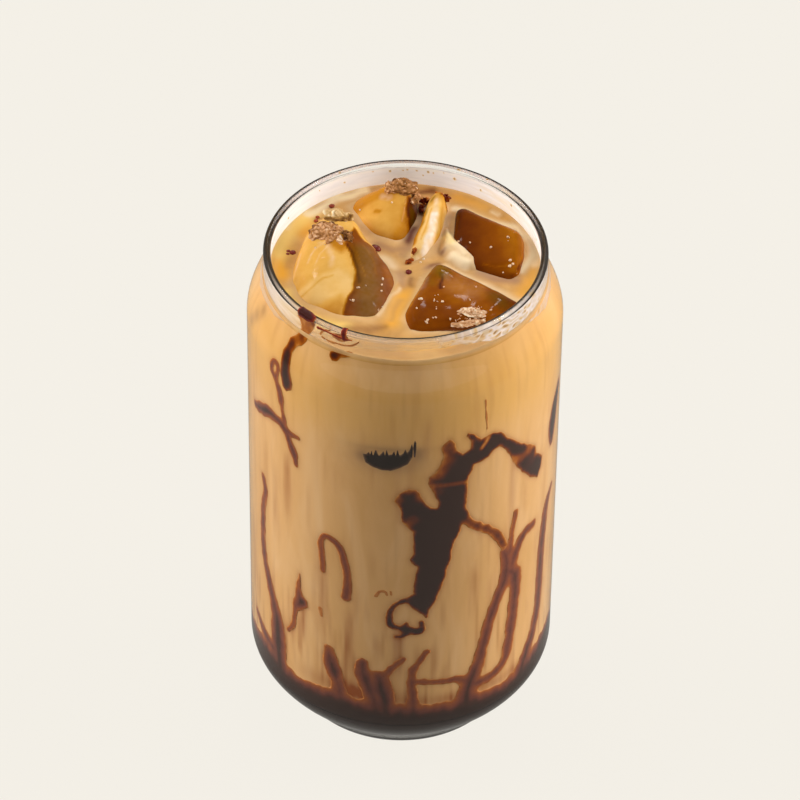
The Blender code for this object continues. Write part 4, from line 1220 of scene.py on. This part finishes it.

# %% [markdown]
# ### A lump of ice under the surface
# At the front a sunk lump touches the wall, and a dark crescent shows where clear coffee and ice meet the
# glass, with a combed upper edge. The lump goes on inside the drink, so the coffee over it looks a little
# greyer: that is the drink's own shade tone. A few faint thin marks of syrup are cut from the same wall,
# and two faint arcs just under the lip, which are a painted image of the syrup line on the lip as the lip
# bends it.

# %% The dark crescent and some faint marks
CRESCENT = [(-15, 100.6), (-13.9, 98.3), (-11.2, 97.2), (-7.9, 96.6), (-4.5, 96.6), (-1.2, 97.5), (1.6, 98.8),
            (3.4, 100.8), (4.2, 103), (4.3, 104.8), (2.2, 103), (1.2, 102.4), (-0.9, 102), (-2.9, 101.8),
            (-5, 101.8), (-7.1, 101.6), (-9.6, 101.4), (-12.1, 101.2)]
COMB_NOISE = (1.3, 5.5)
COMB_STEP = 1.2
COMB_FOOT = 100.8
COMB_START = -15.5
TEETH = (0.6, 0.7)
TEETH_WAVER = 5
TEETH_LIFT = 0.1
SUNK_STOPS = [(0.0, "7e644a"), (0.3, "4a3222"), (0.8, "201208")]
FAINT_RUNS = [
    [(-9.5, 56.9, 0.7), (-8.1, 58.5, 0.5), (-6.1, 58.5, 0.5), (-5.4, 57.6, 0.5)],
    [(-4, 58.7, 0.4), (-3.8, 57.8, 0.4)],
    [(-32.3, 48, 0.9), (-31.7, 45.8, 0.7)],
    [(31.5, 113.8, 0.25), (32, 109, 0.3), (32.6, 105, 0.25)],
    # The next two are a painted image of the syrup line on the lip, bent by the bead of the lip.
    [(-36.7, 128.8, 0.3), (-34.9, 130.3, 0.3), (-31.9, 131.1, 0.3)],
    [(-35.6, 128.1, 0.3), (-32.4, 127.8, 0.35), (-28.7, 128, 0.3), (-25.9, 128.1, 0.25), (-23.3, 128.5, 0.25),
     (-21, 129.1, 0.3), (-19, 130.3, 0.25)],
    [(-29.8, 130, 1.2), (-27, 130.1, 1.9), (-25, 130.5, 1.6)],
]


def reach_into_crescent(ways, heights):
    """Reach into the crescent, whose upper edge is combed."""
    waver = wander(ways, heights * 0, *COMB_NOISE)
    length = TEETH[0] + TEETH[1] * waver
    teeth = length * np.sin(2 * pi * ways / COMB_STEP + TEETH_WAVER * waver) + TEETH_LIFT
    combed = (heights > COMB_FOOT) & (ways > radians(COMB_START) * INNER_MM)
    return reach_into([], ways, heights, CRESCENT) + np.where(combed, teeth, 0)


def sunk_ice():
    """Nearly black, smooth and glossy: clear coffee between ice and glass swallows all light."""
    material = blank("dark_sunk_ice")
    thickness = add(material, "Attribute", attribute_name="thickness").outputs["Fac"]
    deep = add(material, "ValToRGB", {"Fac": thickness}, stops=SUNK_STOPS)
    surface = add(material, "BsdfPrincipled", {"Base Color": deep, "Roughness": 0.2, "IOR": 1.34,
                                               "Specular IOR Level": 0.15})
    add(material, "OutputMaterial", {"Surface": surface})
    return material


crescent = wall_film(reach_into_crescent, runs_box([], CRESCENT), thickness=0.5, rough=0.08, seed=75.0,
                     cell=0.12, rich=3, grow=0.1, rounding=0.5)
piece("sunk_ice", crescent, [sunk_ice()])
for seed, run in enumerate(FAINT_RUNS):
    film = run_film([run], thickness=0.12, rough=0.25, seed=80.0 + seed, cell=0.12, rich=0.25, grow=0.1,
                    rounding=0.3)
    piece(f"faint_mark_{seed + 1}", film, [syrup])

# %% [markdown]
# ## The ice
# Five lumps of half-melted ice, wet and clear in places, so that the dark coffee inside them shows, and
# coated with milk in others. Each starts from its imported solid, which is made of flat facets. A remesh
# gives it even small faces, smoothing rounds it, and noise wears it. Three numbers on each point say how
# deep the eye sees into the ice, how frosty it is, with a few painted highlights among the frost, and how
# green-brown.

# %% Wear a lump
ICE_VOXEL = 0.45
ICE_SWELL = 0.4
ICE_SMOOTHINGS = 4
ICE_SMOOTHING = 0.6
ICE_WAVE = 5
ICE_FINE_WAVE = 1.8
ICE_FINE_SHARE = 0.15
LUMP_MERGE = 0.005 * MM
LUMP_FLATNESS = radians(2)
ICE_RIPPLES_PER_MM = 0.42


def worn_lump(name, waves):
    """Rounded and uneven copy of a packed lump."""
    shape = bmesh.new()
    shape.from_mesh(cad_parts[name].data)
    bmesh.ops.remove_doubles(shape, verts=shape.verts, dist=LUMP_MERGE)
    bmesh.ops.dissolve_limit(shape, angle_limit=LUMP_FLATNESS, verts=shape.verts, edges=shape.edges)
    mesh = bpy.data.meshes.new("rough_lump")
    shape.to_mesh(mesh)
    shape.free()
    rough = bpy.data.objects.new("rough_lump", mesh)
    bpy.context.scene.collection.objects.link(rough)
    remesh = rough.modifiers.new("Remesh", "REMESH")
    remesh.mode = "VOXEL"
    remesh.voxel_size = ICE_VOXEL * MM
    bpy.context.view_layer.update()
    fine = bpy.data.meshes.new_from_object(rough.evaluated_get(bpy.context.evaluated_depsgraph_get()))
    bpy.data.objects.remove(rough)
    shape = bmesh.new()
    shape.from_mesh(fine)
    for _ in range(ICE_SMOOTHINGS):
        bmesh.ops.smooth_vert(shape, verts=shape.verts, factor=ICE_SMOOTHING,
                              use_axis_x=True, use_axis_y=True, use_axis_z=True)
    shape.normal_update()
    moves = []
    for vert in shape.verts:
        spot = vert.co / MM
        fine_wave = ICE_FINE_SHARE * waves * noise.noise(spot / ICE_FINE_WAVE)
        out = ICE_SWELL + waves * noise.noise(spot / ICE_WAVE) + fine_wave
        moves.append(vert.normal * out * MM)
    for vert, move in zip(shape.verts, moves):
        vert.co += move
    return shape


# %% Paint how deep, how frosty and how green-brown a lump looks
EDGE_WANDERS = 0.35
EDGE_NOISE = (2.4, 1.5)
FROST_NOISE = (0.8, 6.5)
FROST_PATCHY = (0.85, 0.6)


def painted_lump(name, base, deep=(), lines=(), frost=(), olive=(), waves=0.3):
    """Lump with its three numbers, painted as seen from above, in mm.

    deep lists (outline, softness, depth); lines, frost and olive list (path, reach, softness, value)."""
    shape = worn_lump(name, waves)
    x, y, _ = spots_of(shape)
    bent = x + EDGE_WANDERS * wander(x, y, *EDGE_NOISE)
    depth = np.full(len(x), base)
    for outline, soft, value in deep:
        depth += (value - depth) * np.clip(0.5 - outside(outline, bent, y) / soft, 0, 1)
    # frosty holds real frost and a few painted highlights.
    frosty, greenish = np.zeros(len(x)), np.zeros(len(x))
    ragged = FROST_PATCHY[0] + FROST_PATCHY[1] * wander(x, y, *FROST_NOISE)
    for number, strokes, patchy in ((depth, lines, 1), (frosty, frost, ragged), (greenish, olive, 1)):
        for path, reach, soft, value in strokes:
            share = np.clip((reach - near_path(path, bent, y)) / soft + 0.5, 0, 1)
            number += (value * patchy - number) * share
    keep(shape, depth=np.clip(depth, 0, 1), frost=np.clip(frosty, 0, 1), olive=np.clip(greenish, 0, 1))
    return shape


# %% [markdown]
# ### Ice
# Wet ice mirrors little, about as much as water, but its edges catch the lamps sharply. Under the clear
# skin lies the amber of the coffee: pale caramel where milk is just behind the surface, dark brown where
# the eye goes deep. That dark brown is partly painted shade, for the little light that gets down round the
# sunk ice.

# %% Ice
# The dark end of these stops is partly painted shade.
DEPTH_STOPS = [(0.0, "f2dfbc"), (0.15, "ecc582"), (0.3, "dda750"), (0.45, "c38122"), (0.6, "a66206"),
               (0.72, "844200"), (0.85, "602800"), (1.0, "331303")]


def melting_ice():
    """Wet ice in coffee, coloured by how deep the eye sees, by frost and a few painted highlights, and how
    green-brown it is.
    """
    material = blank("melting_ice")
    place = add(material, "TexCoord").outputs["Object"]
    depth = uneven(material, "depth", 0.16, place, per_mm=0.22, detail=4.0, roughness=0.6)
    amber = add(material, "ValToRGB", {"Fac": depth}, stops=DEPTH_STOPS)
    # The frost colour also paints a few highlights.
    seen = mix_tones(material, amber, {"olive": "6f5608", "frost": "f6e4d2"})
    fine = add(material, "TexNoise", {"Vector": place, "Scale": ICE_RIPPLES_PER_MM / MM, "Detail": 2.0})
    bump = add(material, "Bump", {"Strength": 0.06, "Distance": 0.3 * MM, "Height": fine})
    surface = add(material, "BsdfPrincipled", {"Base Color": seen, "Roughness": 0.1, "IOR": 1.31,
                                               "Specular IOR Level": 0.14, "Normal": bump})
    add(material, "OutputMaterial", {"Surface": surface})
    return material


ice = melting_ice()

# %% The left lump
LUMPS = {}
LUMPS["ice_left"] = dict(
    base=0.3,
    deep=[([(-27, -9.8), (-23.1, -7.7), (-18.9, -5.2), (-15, -4), (-11, -8), (-12, -20), (-26, -16)],
           1.2, 0.22),
          ([(-24, -12.6), (-19, -13.4), (-14.6, -11.6), (-13, -14), (-16, -20), (-26, -16)], 2.4, 0.4),
          ([(-17.4, 6), (-13.6, 7), (-12.6, 3), (-14.6, 0.6), (-17, 2.6)], 1.6, 0.52),
          ([(-12, 10.3), (-9.3, 6.6), (-3, 4), (2, -5), (-2, -12), (-5, -20), (-14.8, -20), (-14.3, -17.3),
            (-13.7, -13.9), (-11.9, -9.6), (-11.3, -5.2), (-12.4, -0.2), (-13.8, 4.1)], 0.5, 0.75)],
    lines=[([(-13.4, 3.2), (-12.2, 0.3), (-11, -3.1), (-10.5, -7.7)], 0.3, 0.6, 0.93),
           ([(-12, 4.4), (-10.3, -0.4), (-9.4, -3.4)], 0.1, 0.5, 0.88),
           ([(-11.2, 1.8), (-9.9, -2.2), (-9.3, -5.6)], 0.08, 0.4, 0.56),
           ([(-9.6, 4.4), (-7.6, 0.4), (-6.4, -3.8)], 0.1, 0.7, 0.64),
           ([(-4.4, -1.6), (-3, -5.6)], 0.9, 1.6, 0.68), ([(-11.4, -10.4), (-13.4, -15.6)], 0.2, 0.5, 0.82),
           ([(-25.6, -10.6), (-23.2, -9.7), (-20.8, -8.1), (-18.4, -6.2), (-16.4, -5.7)], 0.1, 0.6, 0.37)],
    frost=[([(-6, 4), (-6, -8), (-9, -16)], 4, 3, 0.035),
           ([(-17.6, 2.6), (-16.6, -1), (-16.8, -3)], 0.4, 1.2, 0.3),
           # The next two thin lines are painted highlights along the lump's left edge; the last is frost and
           # painted highlight.
           ([(-26.1, -6.3), (-25.3, -2.5), (-23.9, 3.3)], 0.1, 0.6, 0.35),
           ([(-22.3, -0.9), (-21.7, 1.4), (-20.5, 2.8), (-18, 4.4)], 0.1, 0.6, 0.4),
           ([(-20.6, -2.6), (-19.4, 0.6), (-17.4, 3.2)], 0.06, 0.5, 0.3)],
    olive=[([(-9.6, 2), (-8.4, -6), (-8.4, -16)], 2.6, 3, 0.45)], waves=0.4)

# %% The back lump and the shard
LUMPS["ice_back"] = dict(
    base=0.37,
    deep=[([(-15, 18.6), (-9.9, 20.4), (-6.4, 21.1), (-3.3, 20.5), (-1, 24), (-2, 32), (-16, 26)], 1, 0.47),
          ([(-5, 8), (-3, 12), (-0.8, 14), (-0.8, 19), (4, 19), (4, 8)], 1.8, 0.5),
          ([(0.2, 21.6), (-0.2, 18.6), (0.4, 12.4), (0.9, 9), (4.4, 9), (4.4, 23)], 0.7, 0.9)],
    lines=[([(-10, 18), (-5, 15)], 1.4, 3, 0.31), ([(-7, 18.2), (-6.2, 17.8)], 0.35, 0.8, 0.55),
           ([(0.2, 16.4), (0.5, 12.8), (0.3, 10)], 0.3, 0.6, 0.55),
           ([(2.4, 21), (2.6, 18.6)], 0.3, 0.8, 0.68)],
    frost=[([(1.6, 22.6), (2.4, 20.4)], 0.6, 1.4, 0.25), ([(-5.6, 21.6), (-4, 21)], 0.5, 1.2, 0.3)],
    olive=[([(1.4, 19), (1.8, 16)], 0.6, 1, 0.4)], waves=0.3)
LUMPS["ice_shard"] = dict(
    base=0.2,
    deep=[([(2, 8), (3.6, 13), (4.7, 20), (5.2, 24), (2, 24), (0, 9)], 0.7, 0.5),
          ([(5, 25), (9.6, 24.6), (9.4, 20.6), (5.4, 19.4)], 1.6, 0.36)],
    lines=[([(8.4, 22), (7.9, 14), (6.6, 8.6)], 0.3, 0.8, 0.42), ([(7.2, 23), (9.4, 21)], 0.4, 0.6, 0.52),
           ([(5.6, 18), (4.9, 14), (3.6, 9)], 0.1, 0.5, 0.42)],
    frost=[([(6.4, 16.4), (6.1, 13), (5.3, 9.4), (4.1, 5.4)], 0.75, 0.7, 0.85),
           ([(6.8, 20.4), (6.6, 17)], 0.35, 0.7, 0.4), ([(3.2, 4.4), (1.6, 3.4)], 0.4, 0.7, 0.35)],
    olive=[([(5.8, 20.8), (6.6, 21.6)], 0.25, 0.5, 0.75), ([(3.5, 14.2), (3.9, 15)], 0.2, 0.5, 0.6),
           ([(4.6, 19.2), (4.4, 17)], 0.2, 0.7, 0.5), ([(7.9, 18), (7.2, 12)], 0.3, 1, 0.25)], waves=0.45)

# %% The right and front lumps
LUMPS["ice_right"] = dict(
    base=0.88,
    deep=[([(13.4, 26), (15.4, 10), (17.4, -4), (32, -4), (32, 26)], 5, 0.77),
          ([(20.6, 26), (21.4, 12), (23, -4), (32, -4), (32, 26)], 5.5, 0.63)],
    # The first four lines darken the lump along its edges: painted shade.
    lines=[([(10.6, 22.4), (18.6, 18), (25, 14.8)], 0.35, 0.8, 0.97),
           ([(9.4, 12), (12, 8.8), (15.2, 4.6)], 0.15, 0.7, 0.92),
           ([(15.4, 0.2), (20.5, -1.6), (24.6, -1.8)], 0.5, 1.2, 0.84),
           ([(27.6, 10), (27, 4), (25.4, 0)], 0.2, 0.5, 0.86),
           ([(17.5, 1.4), (20.5, 0.4), (23, 0.6)], 0.05, 0.4, 0.6)],
    waves=0.2)
LUMPS["ice_front"] = dict(
    base=0.7,
    deep=[([(9, -4), (16, -6), (18, -10), (12, -12)], 5, 0.62),
          ([(3, -12), (1, -20), (16, -21), (14, -15)], 3, 0.79),
          ([(19, -8), (27, -10), (25, -15), (20, -14)], 3.5, 0.82)],
    # The first line, along the back edge where the lump meets the right lump, is painted shade.
    lines=[([(7.8, 1), (15, -3), (24.6, -10.8)], 0.3, 0.7, 0.85),
           ([(5.6, -0.8), (3.4, -7), (1, -13.4)], 0.1, 0.6, 0.45),
           ([(8, -2.6), (8.4, -4.4), (7.8, -6.2), (7.9, -7.8)], 0.3, 0.5, 0.92)],
    # The first, wide faint stroke is a painted reflection.
    frost=[([(11.4, -6.4), (15, -8.6)], 2.4, 4, 0.05), ([(9, -3.2), (9.6, -4.4)], 0.5, 1, 0.08),
           ([(4.4, -3.6), (3.6, -7)], 0.8, 1.2, 0.1)],
    olive=[([(7.8, -0.4), (8.2, -2.2)], 1.8, 2.4, 0.6), ([(5.4, -4), (6.2, -6)], 1, 1.6, 0.3),
           ([(20, -10.4), (22, -13)], 1.6, 2.4, 0.35)], waves=0.25)
tops = {}
for name, look in LUMPS.items():
    shape = painted_lump(name, **look)
    tops[name] = BVHTree.FromBMesh(shape)
    piece(name, shape, [ice], [name])

# %% [markdown]
# ### Crumbling crests
# Where the lumps have broken, their crests are heaps of small angular crumbs. A heap is a knobbly core,
# painted darker in its hollows as shade, with crumbs strewn over it: jittered icospheres of a few faces
# each, flat-shaded so that they glitter. Along one given edge of a heap its tone is lowered as painted shade.

# %% Strew crumbs over a core
CORE_GRAIN = 1.15
CORE_CRUMPLE = 0.45
CORE_RAGGED = (0.4, 1.7)
HOLLOW_SHADE = 0.6
HOLLOW_LEVEL = 0.55
CRUMB_JITTER = (0.7, 1.25)
CRUMB_SQUASH = (0.5, 1.4)
CRUMB_SINKS = (-0.3, 0.2)
ABOVE_ALL = 200
SHADE_PATH = 0.8
SHADE_PATH_WIDTH = 0.7
SHADE_PATH_SOFTNESS = 1.3


def top_at(tree, x, y, low=DRINK_MM):
    """Height in mm of the highest spot of a shape at a place, or low where there is nothing."""
    hit = tree.ray_cast(Vector((x, y, ABOVE_ALL)) * MM, Vector((0, 0, -1)))[0]
    return max(hit.z / MM, low) if hit else low


def add_core(shape, layer, centre, half, turn, tone):
    """Crumpled crust of some half sizes, with a ragged outline and a tone painted darker in its hollows as
    shade.
    """
    made = bmesh.ops.create_icosphere(shape, subdivisions=5, radius=1)["verts"]
    for vert in made:
        way = vert.co.normalized()
        ragged = 1 + CORE_RAGGED[0] * noise.noise(way * CORE_RAGGED[1] + Vector(centre))
        spot = Vector([vert.co[i] * half[i] * ragged for i in range(3)])
        crumple = noise.turbulence((spot + Vector(centre)) / CORE_GRAIN, 4, True)
        vert.co = (spot + way * CORE_CRUMPLE * (crumple - 0.5)) * MM
        # Painted shade: the tone is lowered in the hollows of the crumple.
        vert[layer] = min(max(tone + HOLLOW_SHADE * (crumple - HOLLOW_LEVEL), 0), 1)
    bmesh.ops.rotate(shape, verts=made, cent=(0, 0, 0), matrix=Matrix.Rotation(radians(turn), 3, "Z"))
    bmesh.ops.translate(shape, verts=made, vec=Vector(centre) * MM)


def add_crumb(shape, layer, centre, size, tone, rng, faces=1):
    """Angular crumb, jittered, squashed and turned at random."""
    made = bmesh.ops.create_icosphere(shape, subdivisions=faces, radius=size * MM)["verts"]
    for vert in made:
        vert.co *= rng.uniform(*CRUMB_JITTER)
        vert[layer] = tone
    bmesh.ops.scale(shape, verts=made, vec=rng.uniform(*CRUMB_SQUASH, 3))
    axis = Vector(rng.normal(size=3)).normalized()
    turned = Matrix.Rotation(rng.uniform(0, 2 * pi), 3, axis)
    bmesh.ops.rotate(shape, verts=made, cent=(0, 0, 0), matrix=turned)
    bmesh.ops.translate(shape, verts=made, vec=Vector(centre) * MM)


def crest(tree, cores, fields, seed, dark=None):
    """Heap of cores and crumbs on a lump's tree, with its tone lowered along a dark path as painted shade.

    Cores are (x, y and rise above the lump, half sizes, turn, tone). Fields are (outline, count, smallest,
    largest, darkest and lightest)."""
    rng = np.random.default_rng(seed)
    shape = bmesh.new()
    layer = shape.verts.layers.float.new("tone")
    for (x, y, rise), half, turn, tone in cores:
        add_core(shape, layer, (x, y, top_at(tree, x, y) + rise), half, turn, tone)
    heap = BVHTree.FromBMesh(shape)
    for outline, count, smallest, largest, darkest, lightest in fields:
        corners = np.array(outline)
        placed = 0
        while placed < count:
            x, y = rng.uniform(corners.min(axis=0), corners.max(axis=0))
            if outside(outline, np.array([x]), np.array([y]))[0] > 0:
                continue
            size = rng.uniform(smallest, largest)
            height = max(top_at(tree, x, y), top_at(heap, x, y)) + rng.uniform(*CRUMB_SINKS) * size
            add_crumb(shape, layer, (x, y, height), size, rng.uniform(darkest, lightest), rng)
            placed += 1
    # Painted shade along the given edge of the heap.
    if dark:
        x, y, _ = spots_of(shape)
        for vert, near in zip(shape.verts, near_path(dark, x, y)):
            share = min(max(SHADE_PATH_SOFTNESS - near / SHADE_PATH_WIDTH, 0), 1)
            vert[layer] *= 1 - SHADE_PATH * share
    return shape


# %% [markdown]
# ### Crumbled ice
# Many small faces scatter light, so crumbled ice is paler than the lump under it, pinkish brown here from
# the coffee that has soaked in, and painted darker in its hollows as shade.

# %% Crumbled ice
CRUMB_STOPS = (0.0, 0.25, 0.5, 0.75, 1.0)


def crumbled_ice(name, codes):
    """Crumbs of ice with coffee in them; codes run from the painted shade of the hollows to the palest
    crumbs.
    """
    material = blank(name)
    place = add(material, "TexCoord").outputs["Object"]
    tone = uneven(material, "tone", 0.5, place, per_mm=1.6, detail=3.0)
    shade = add(material, "ValToRGB", {"Fac": tone}, stops=list(zip(CRUMB_STOPS, codes)))
    surface = add(material, "BsdfPrincipled", {"Base Color": shade, "Roughness": 0.3, "IOR": 1.31,
                                               "Specular IOR Level": 0.25})
    add(material, "OutputMaterial", {"Surface": surface})
    return material


pink_crumbs = crumbled_ice("crumbled_ice", ("3e1e0c", "7c4e24", "ac7644", "d2a074", "f0d8b8"))
olive_crumbs = crumbled_ice("crumbled_ice_olive", ("4a280c", "8c5f2a", "ba8f50", "dbb680", "f4e2bc"))
red_crumbs = crumbled_ice("syrup_stained_crumbs", ("3c0e04", "6a2008", "93420e", "c87a34", "f0c080"))

# %% Outlines of the crests
CREST_ONE = [(-22, 7.8), (-20.9, 10.5), (-19.7, 11.4), (-17.5, 11), (-16, 10), (-15.8, 7.9), (-16, 5.4),
             (-17.8, 4), (-19.5, 3.8), (-20.8, 5.4)]
CREST_TWO = [(-18.3, 14.4), (-17.1, 15.9), (-15.6, 16.6), (-14.1, 15.6), (-12.9, 14.1), (-13.8, 12.8),
             (-15.5, 12), (-17.5, 12.2)]
CREST_THREE = [(-14.6, 7.2), (-13.5, 8), (-12, 7.4), (-12, 5.2), (-13, 3.8), (-14.1, 5.1)]
BACK_CREST = [(-4.3, 25.4), (-2.5, 26.9), (-0.8, 27.4), (0.6, 27), (2.3, 24.7), (2.8, 22.6), (1, 22),
              (-1.6, 22.3), (-2.6, 21.6), (-3.4, 23.5)]
FROST_CHUNK = [(11.8, -16.3), (13.4, -14.9), (15.4, -15.2), (16.6, -13.8), (18.2, -14.8), (18.4, -16.2),
               (16.8, -17.6), (14, -17.7), (12.2, -17.7)]
FROST_FOOT = [(9.9, -20.7), (11.8, -18.1), (15, -18), (18.2, -16.9), (16.3, -19.2), (13.1, -20.6)]
SHARD_TOP = [(3.4, 24.4), (4.6, 25), (7, 24.6), (9.4, 22.8), (10, 21.4), (9, 20.8), (7.4, 22.6), (5, 23.4),
             (4.2, 21), (3.4, 21)]

# %% The crests
CRESTS = [
    ("ice_left", "crest_one", pink_crumbs,
     [((-19, 8, -0.5), (3, 3.2, 1.2), 15, 0.66), ((-17, 5.6, -0.4), (1.9, 2.4, 1), 0, 0.6),
      ((-17.6, 10, -0.5), (2.1, 1.4, 1.2), 0, 0.5), ((-15.6, 8.4, -0.4), (1.3, 1.9, 0.9), 0, 0.62),
      ((-15.3, 4.8, -0.5), (1.2, 2, 0.8), 10, 0.85)],
     [(CREST_ONE, 26, 0.1, 0.32, 0.3, 1.0)], [(-22.2, 7.6), (-21, 10.8), (-17.6, 11.4), (-15.4, 10.8)]),
    ("ice_left", "crest_two", olive_crumbs, [((-15.6, 14.1, 0), (3.2, 2.3, 1.3), -15, 0.78)],
     [(CREST_TWO, 10, 0.1, 0.26, 0.3, 0.9)], [(-18.4, 13), (-15.5, 11.9), (-13.2, 12.8), (-12.6, 14)]),
    ("ice_left", "crest_three", pink_crumbs, [((-13.2, 6, -0.2), (1.3, 2, 1.1), 10, 0.3)],
     [(CREST_THREE, 14, 0.15, 0.35, 0.1, 0.6)], [(-14.8, 7.2), (-14.2, 5), (-13.6, 3.2)]),
    ("ice_back", "back_crest", pink_crumbs,
     [((-1.2, 24.4, -0.5), (3.4, 2.8, 1.2), -10, 0.44), ((1.7, 22.8, -0.4), (1.4, 2.1, 1.3), 0, 0.62),
      ((-3.6, 23.4, -0.3), (1.4, 1.7, 0.8), 0, 0.6)],
     [(BACK_CREST, 24, 0.1, 0.3, 0.3, 1.0)], [(-5, 25.6), (-2.8, 27.4), (-0.8, 27.9), (1.6, 26.8)]),
    ("ice_shard", "shard_crumbs", red_crumbs,
     [((4.1, 24.2, 1), (1.2, 0.7, 0.8), 0, 0.3), ((6.2, 24.4, 0.8), (1.3, 0.7, 0.9), 10, 0.55),
      ((8.9, 22.4, 0.7), (1.2, 0.9, 0.9), -30, 0.35), ((3.4, 21.6, 0.8), (0.6, 1.4, 0.8), 0, 0.3),
      ((1.9, 5.7, 0.3), (0.5, 1, 0.5), -25, 0.5), ((0.9, 3.4, 0.3), (0.55, 1.3, 0.45), -35, 0.5)],
     [(SHARD_TOP, 22, 0.2, 0.45, 0.15, 0.85)], None),
    ("ice_front", "front_frost", pink_crumbs,
     [((15.2, -16.3, -0.1), (3.2, 1.5, 0.6), -12, 0.95), ((13.2, -19.2, -0.1), (3, 1.2, 0.45), 10, 0.85),
      ((16, -18.5, -0.1), (2.2, 0.9, 0.45), 14, 0.8)],
     [(FROST_CHUNK, 40, 0.1, 0.3, 0.5, 1.0), (FROST_FOOT, 18, 0.1, 0.28, 0.6, 0.95)], None),
]
for seed, (lump, name, material, cores, fields, dark) in enumerate(CRESTS):
    heap = piece(name, crest(tops[lump], cores, fields, seed + 11, dark), [material], [lump])
    heap.data.shade_flat()

# %% [markdown]
# ### Bubbles
# Melting ice lets out air, which sits on it as tiny pale domes. There are few of them, and each has its own
# place in the photo, so they are listed one by one and made like the crumbs, but rounder.

# %% Bubbles on the ice
BUBBLES = {
    "ice_left": [(-5.1, -4.8, 0.32), (-5.3, -6.8, 0.26), (-5.4, -8.8, 0.2), (-8.9, -8.4, 0.2),
                 (-10.6, -9.3, 0.34), (-12.3, -12.8, 0.2), (-11.7, -12.9, 0.24), (-5.1, -13, 0.24),
                 (-6, -14.3, 0.26), (-4.1, -13.4, 0.2), (-20.6, 3.2, 0.2), (-18.4, 3.3, 0.2),
                 (-15.8, 12.3, 0.25)],
    "ice_back": [(-2.4, 24.4, 0.3), (-2.6, 23, 0.22), (2.3, 24.4, 0.42), (-3.3, 19.6, 0.3),
                 (-10.6, 20.4, 0.22)],
    "ice_shard": [(4, 4.4, 0.3), (3.4, 3.3, 0.22)],
    "ice_right": [(12, 9.6, 0.28), (14.6, 8.6, 0.2), (19.4, 6.3, 0.3), (23.2, 8.9, 0.3), (23.5, 8.7, 0.2),
                  (23.3, 7.7, 0.14), (23.7, 1.8, 0.4), (24.3, 0.9, 0.34), (23.6, 0.4, 0.3),
                  (22.1, -0.9, 0.18), (22.2, 14.6, 0.26), (23.4, 13.8, 0.2), (21.4, 15, 0.14)],
    "ice_front": [(3.5, -11.7, 0.4), (6.5, -12.2, 0.34), (7.2, -12.5, 0.2), (8.4, -12.6, 0.28),
                  (7.4, -10.2, 0.16), (6.7, -10.4, 0.14), (14.5, -11.8, 0.28), (8.7, -7.3, 0.2),
                  (7, -14.4, 0.18), (7, -15, 0.14), (4.8, -19.2, 0.36), (5.1, -18.6, 0.3),
                  (6.9, -17.9, 0.28), (6.3, -18, 0.18), (10.2, -18.4, 0.26), (19.2, -15.4, 0.3),
                  (2.6, -14.9, 0.2)],
}
BUBBLE_TONES = (0.85, 1)


def bubbles():
    """Small domes on the lumps: air that came out of the melting ice."""
    rng = np.random.default_rng(5)
    shape = bmesh.new()
    layer = shape.verts.layers.float.new("tone")
    for lump, spots in BUBBLES.items():
        for x, y, size in spots:
            height = top_at(tops[lump], x, y)
            add_crumb(shape, layer, (x, y, height), size, rng.uniform(*BUBBLE_TONES), rng, faces=2)
    return shape


piece("ice_bubbles", bubbles(), [pink_crumbs])
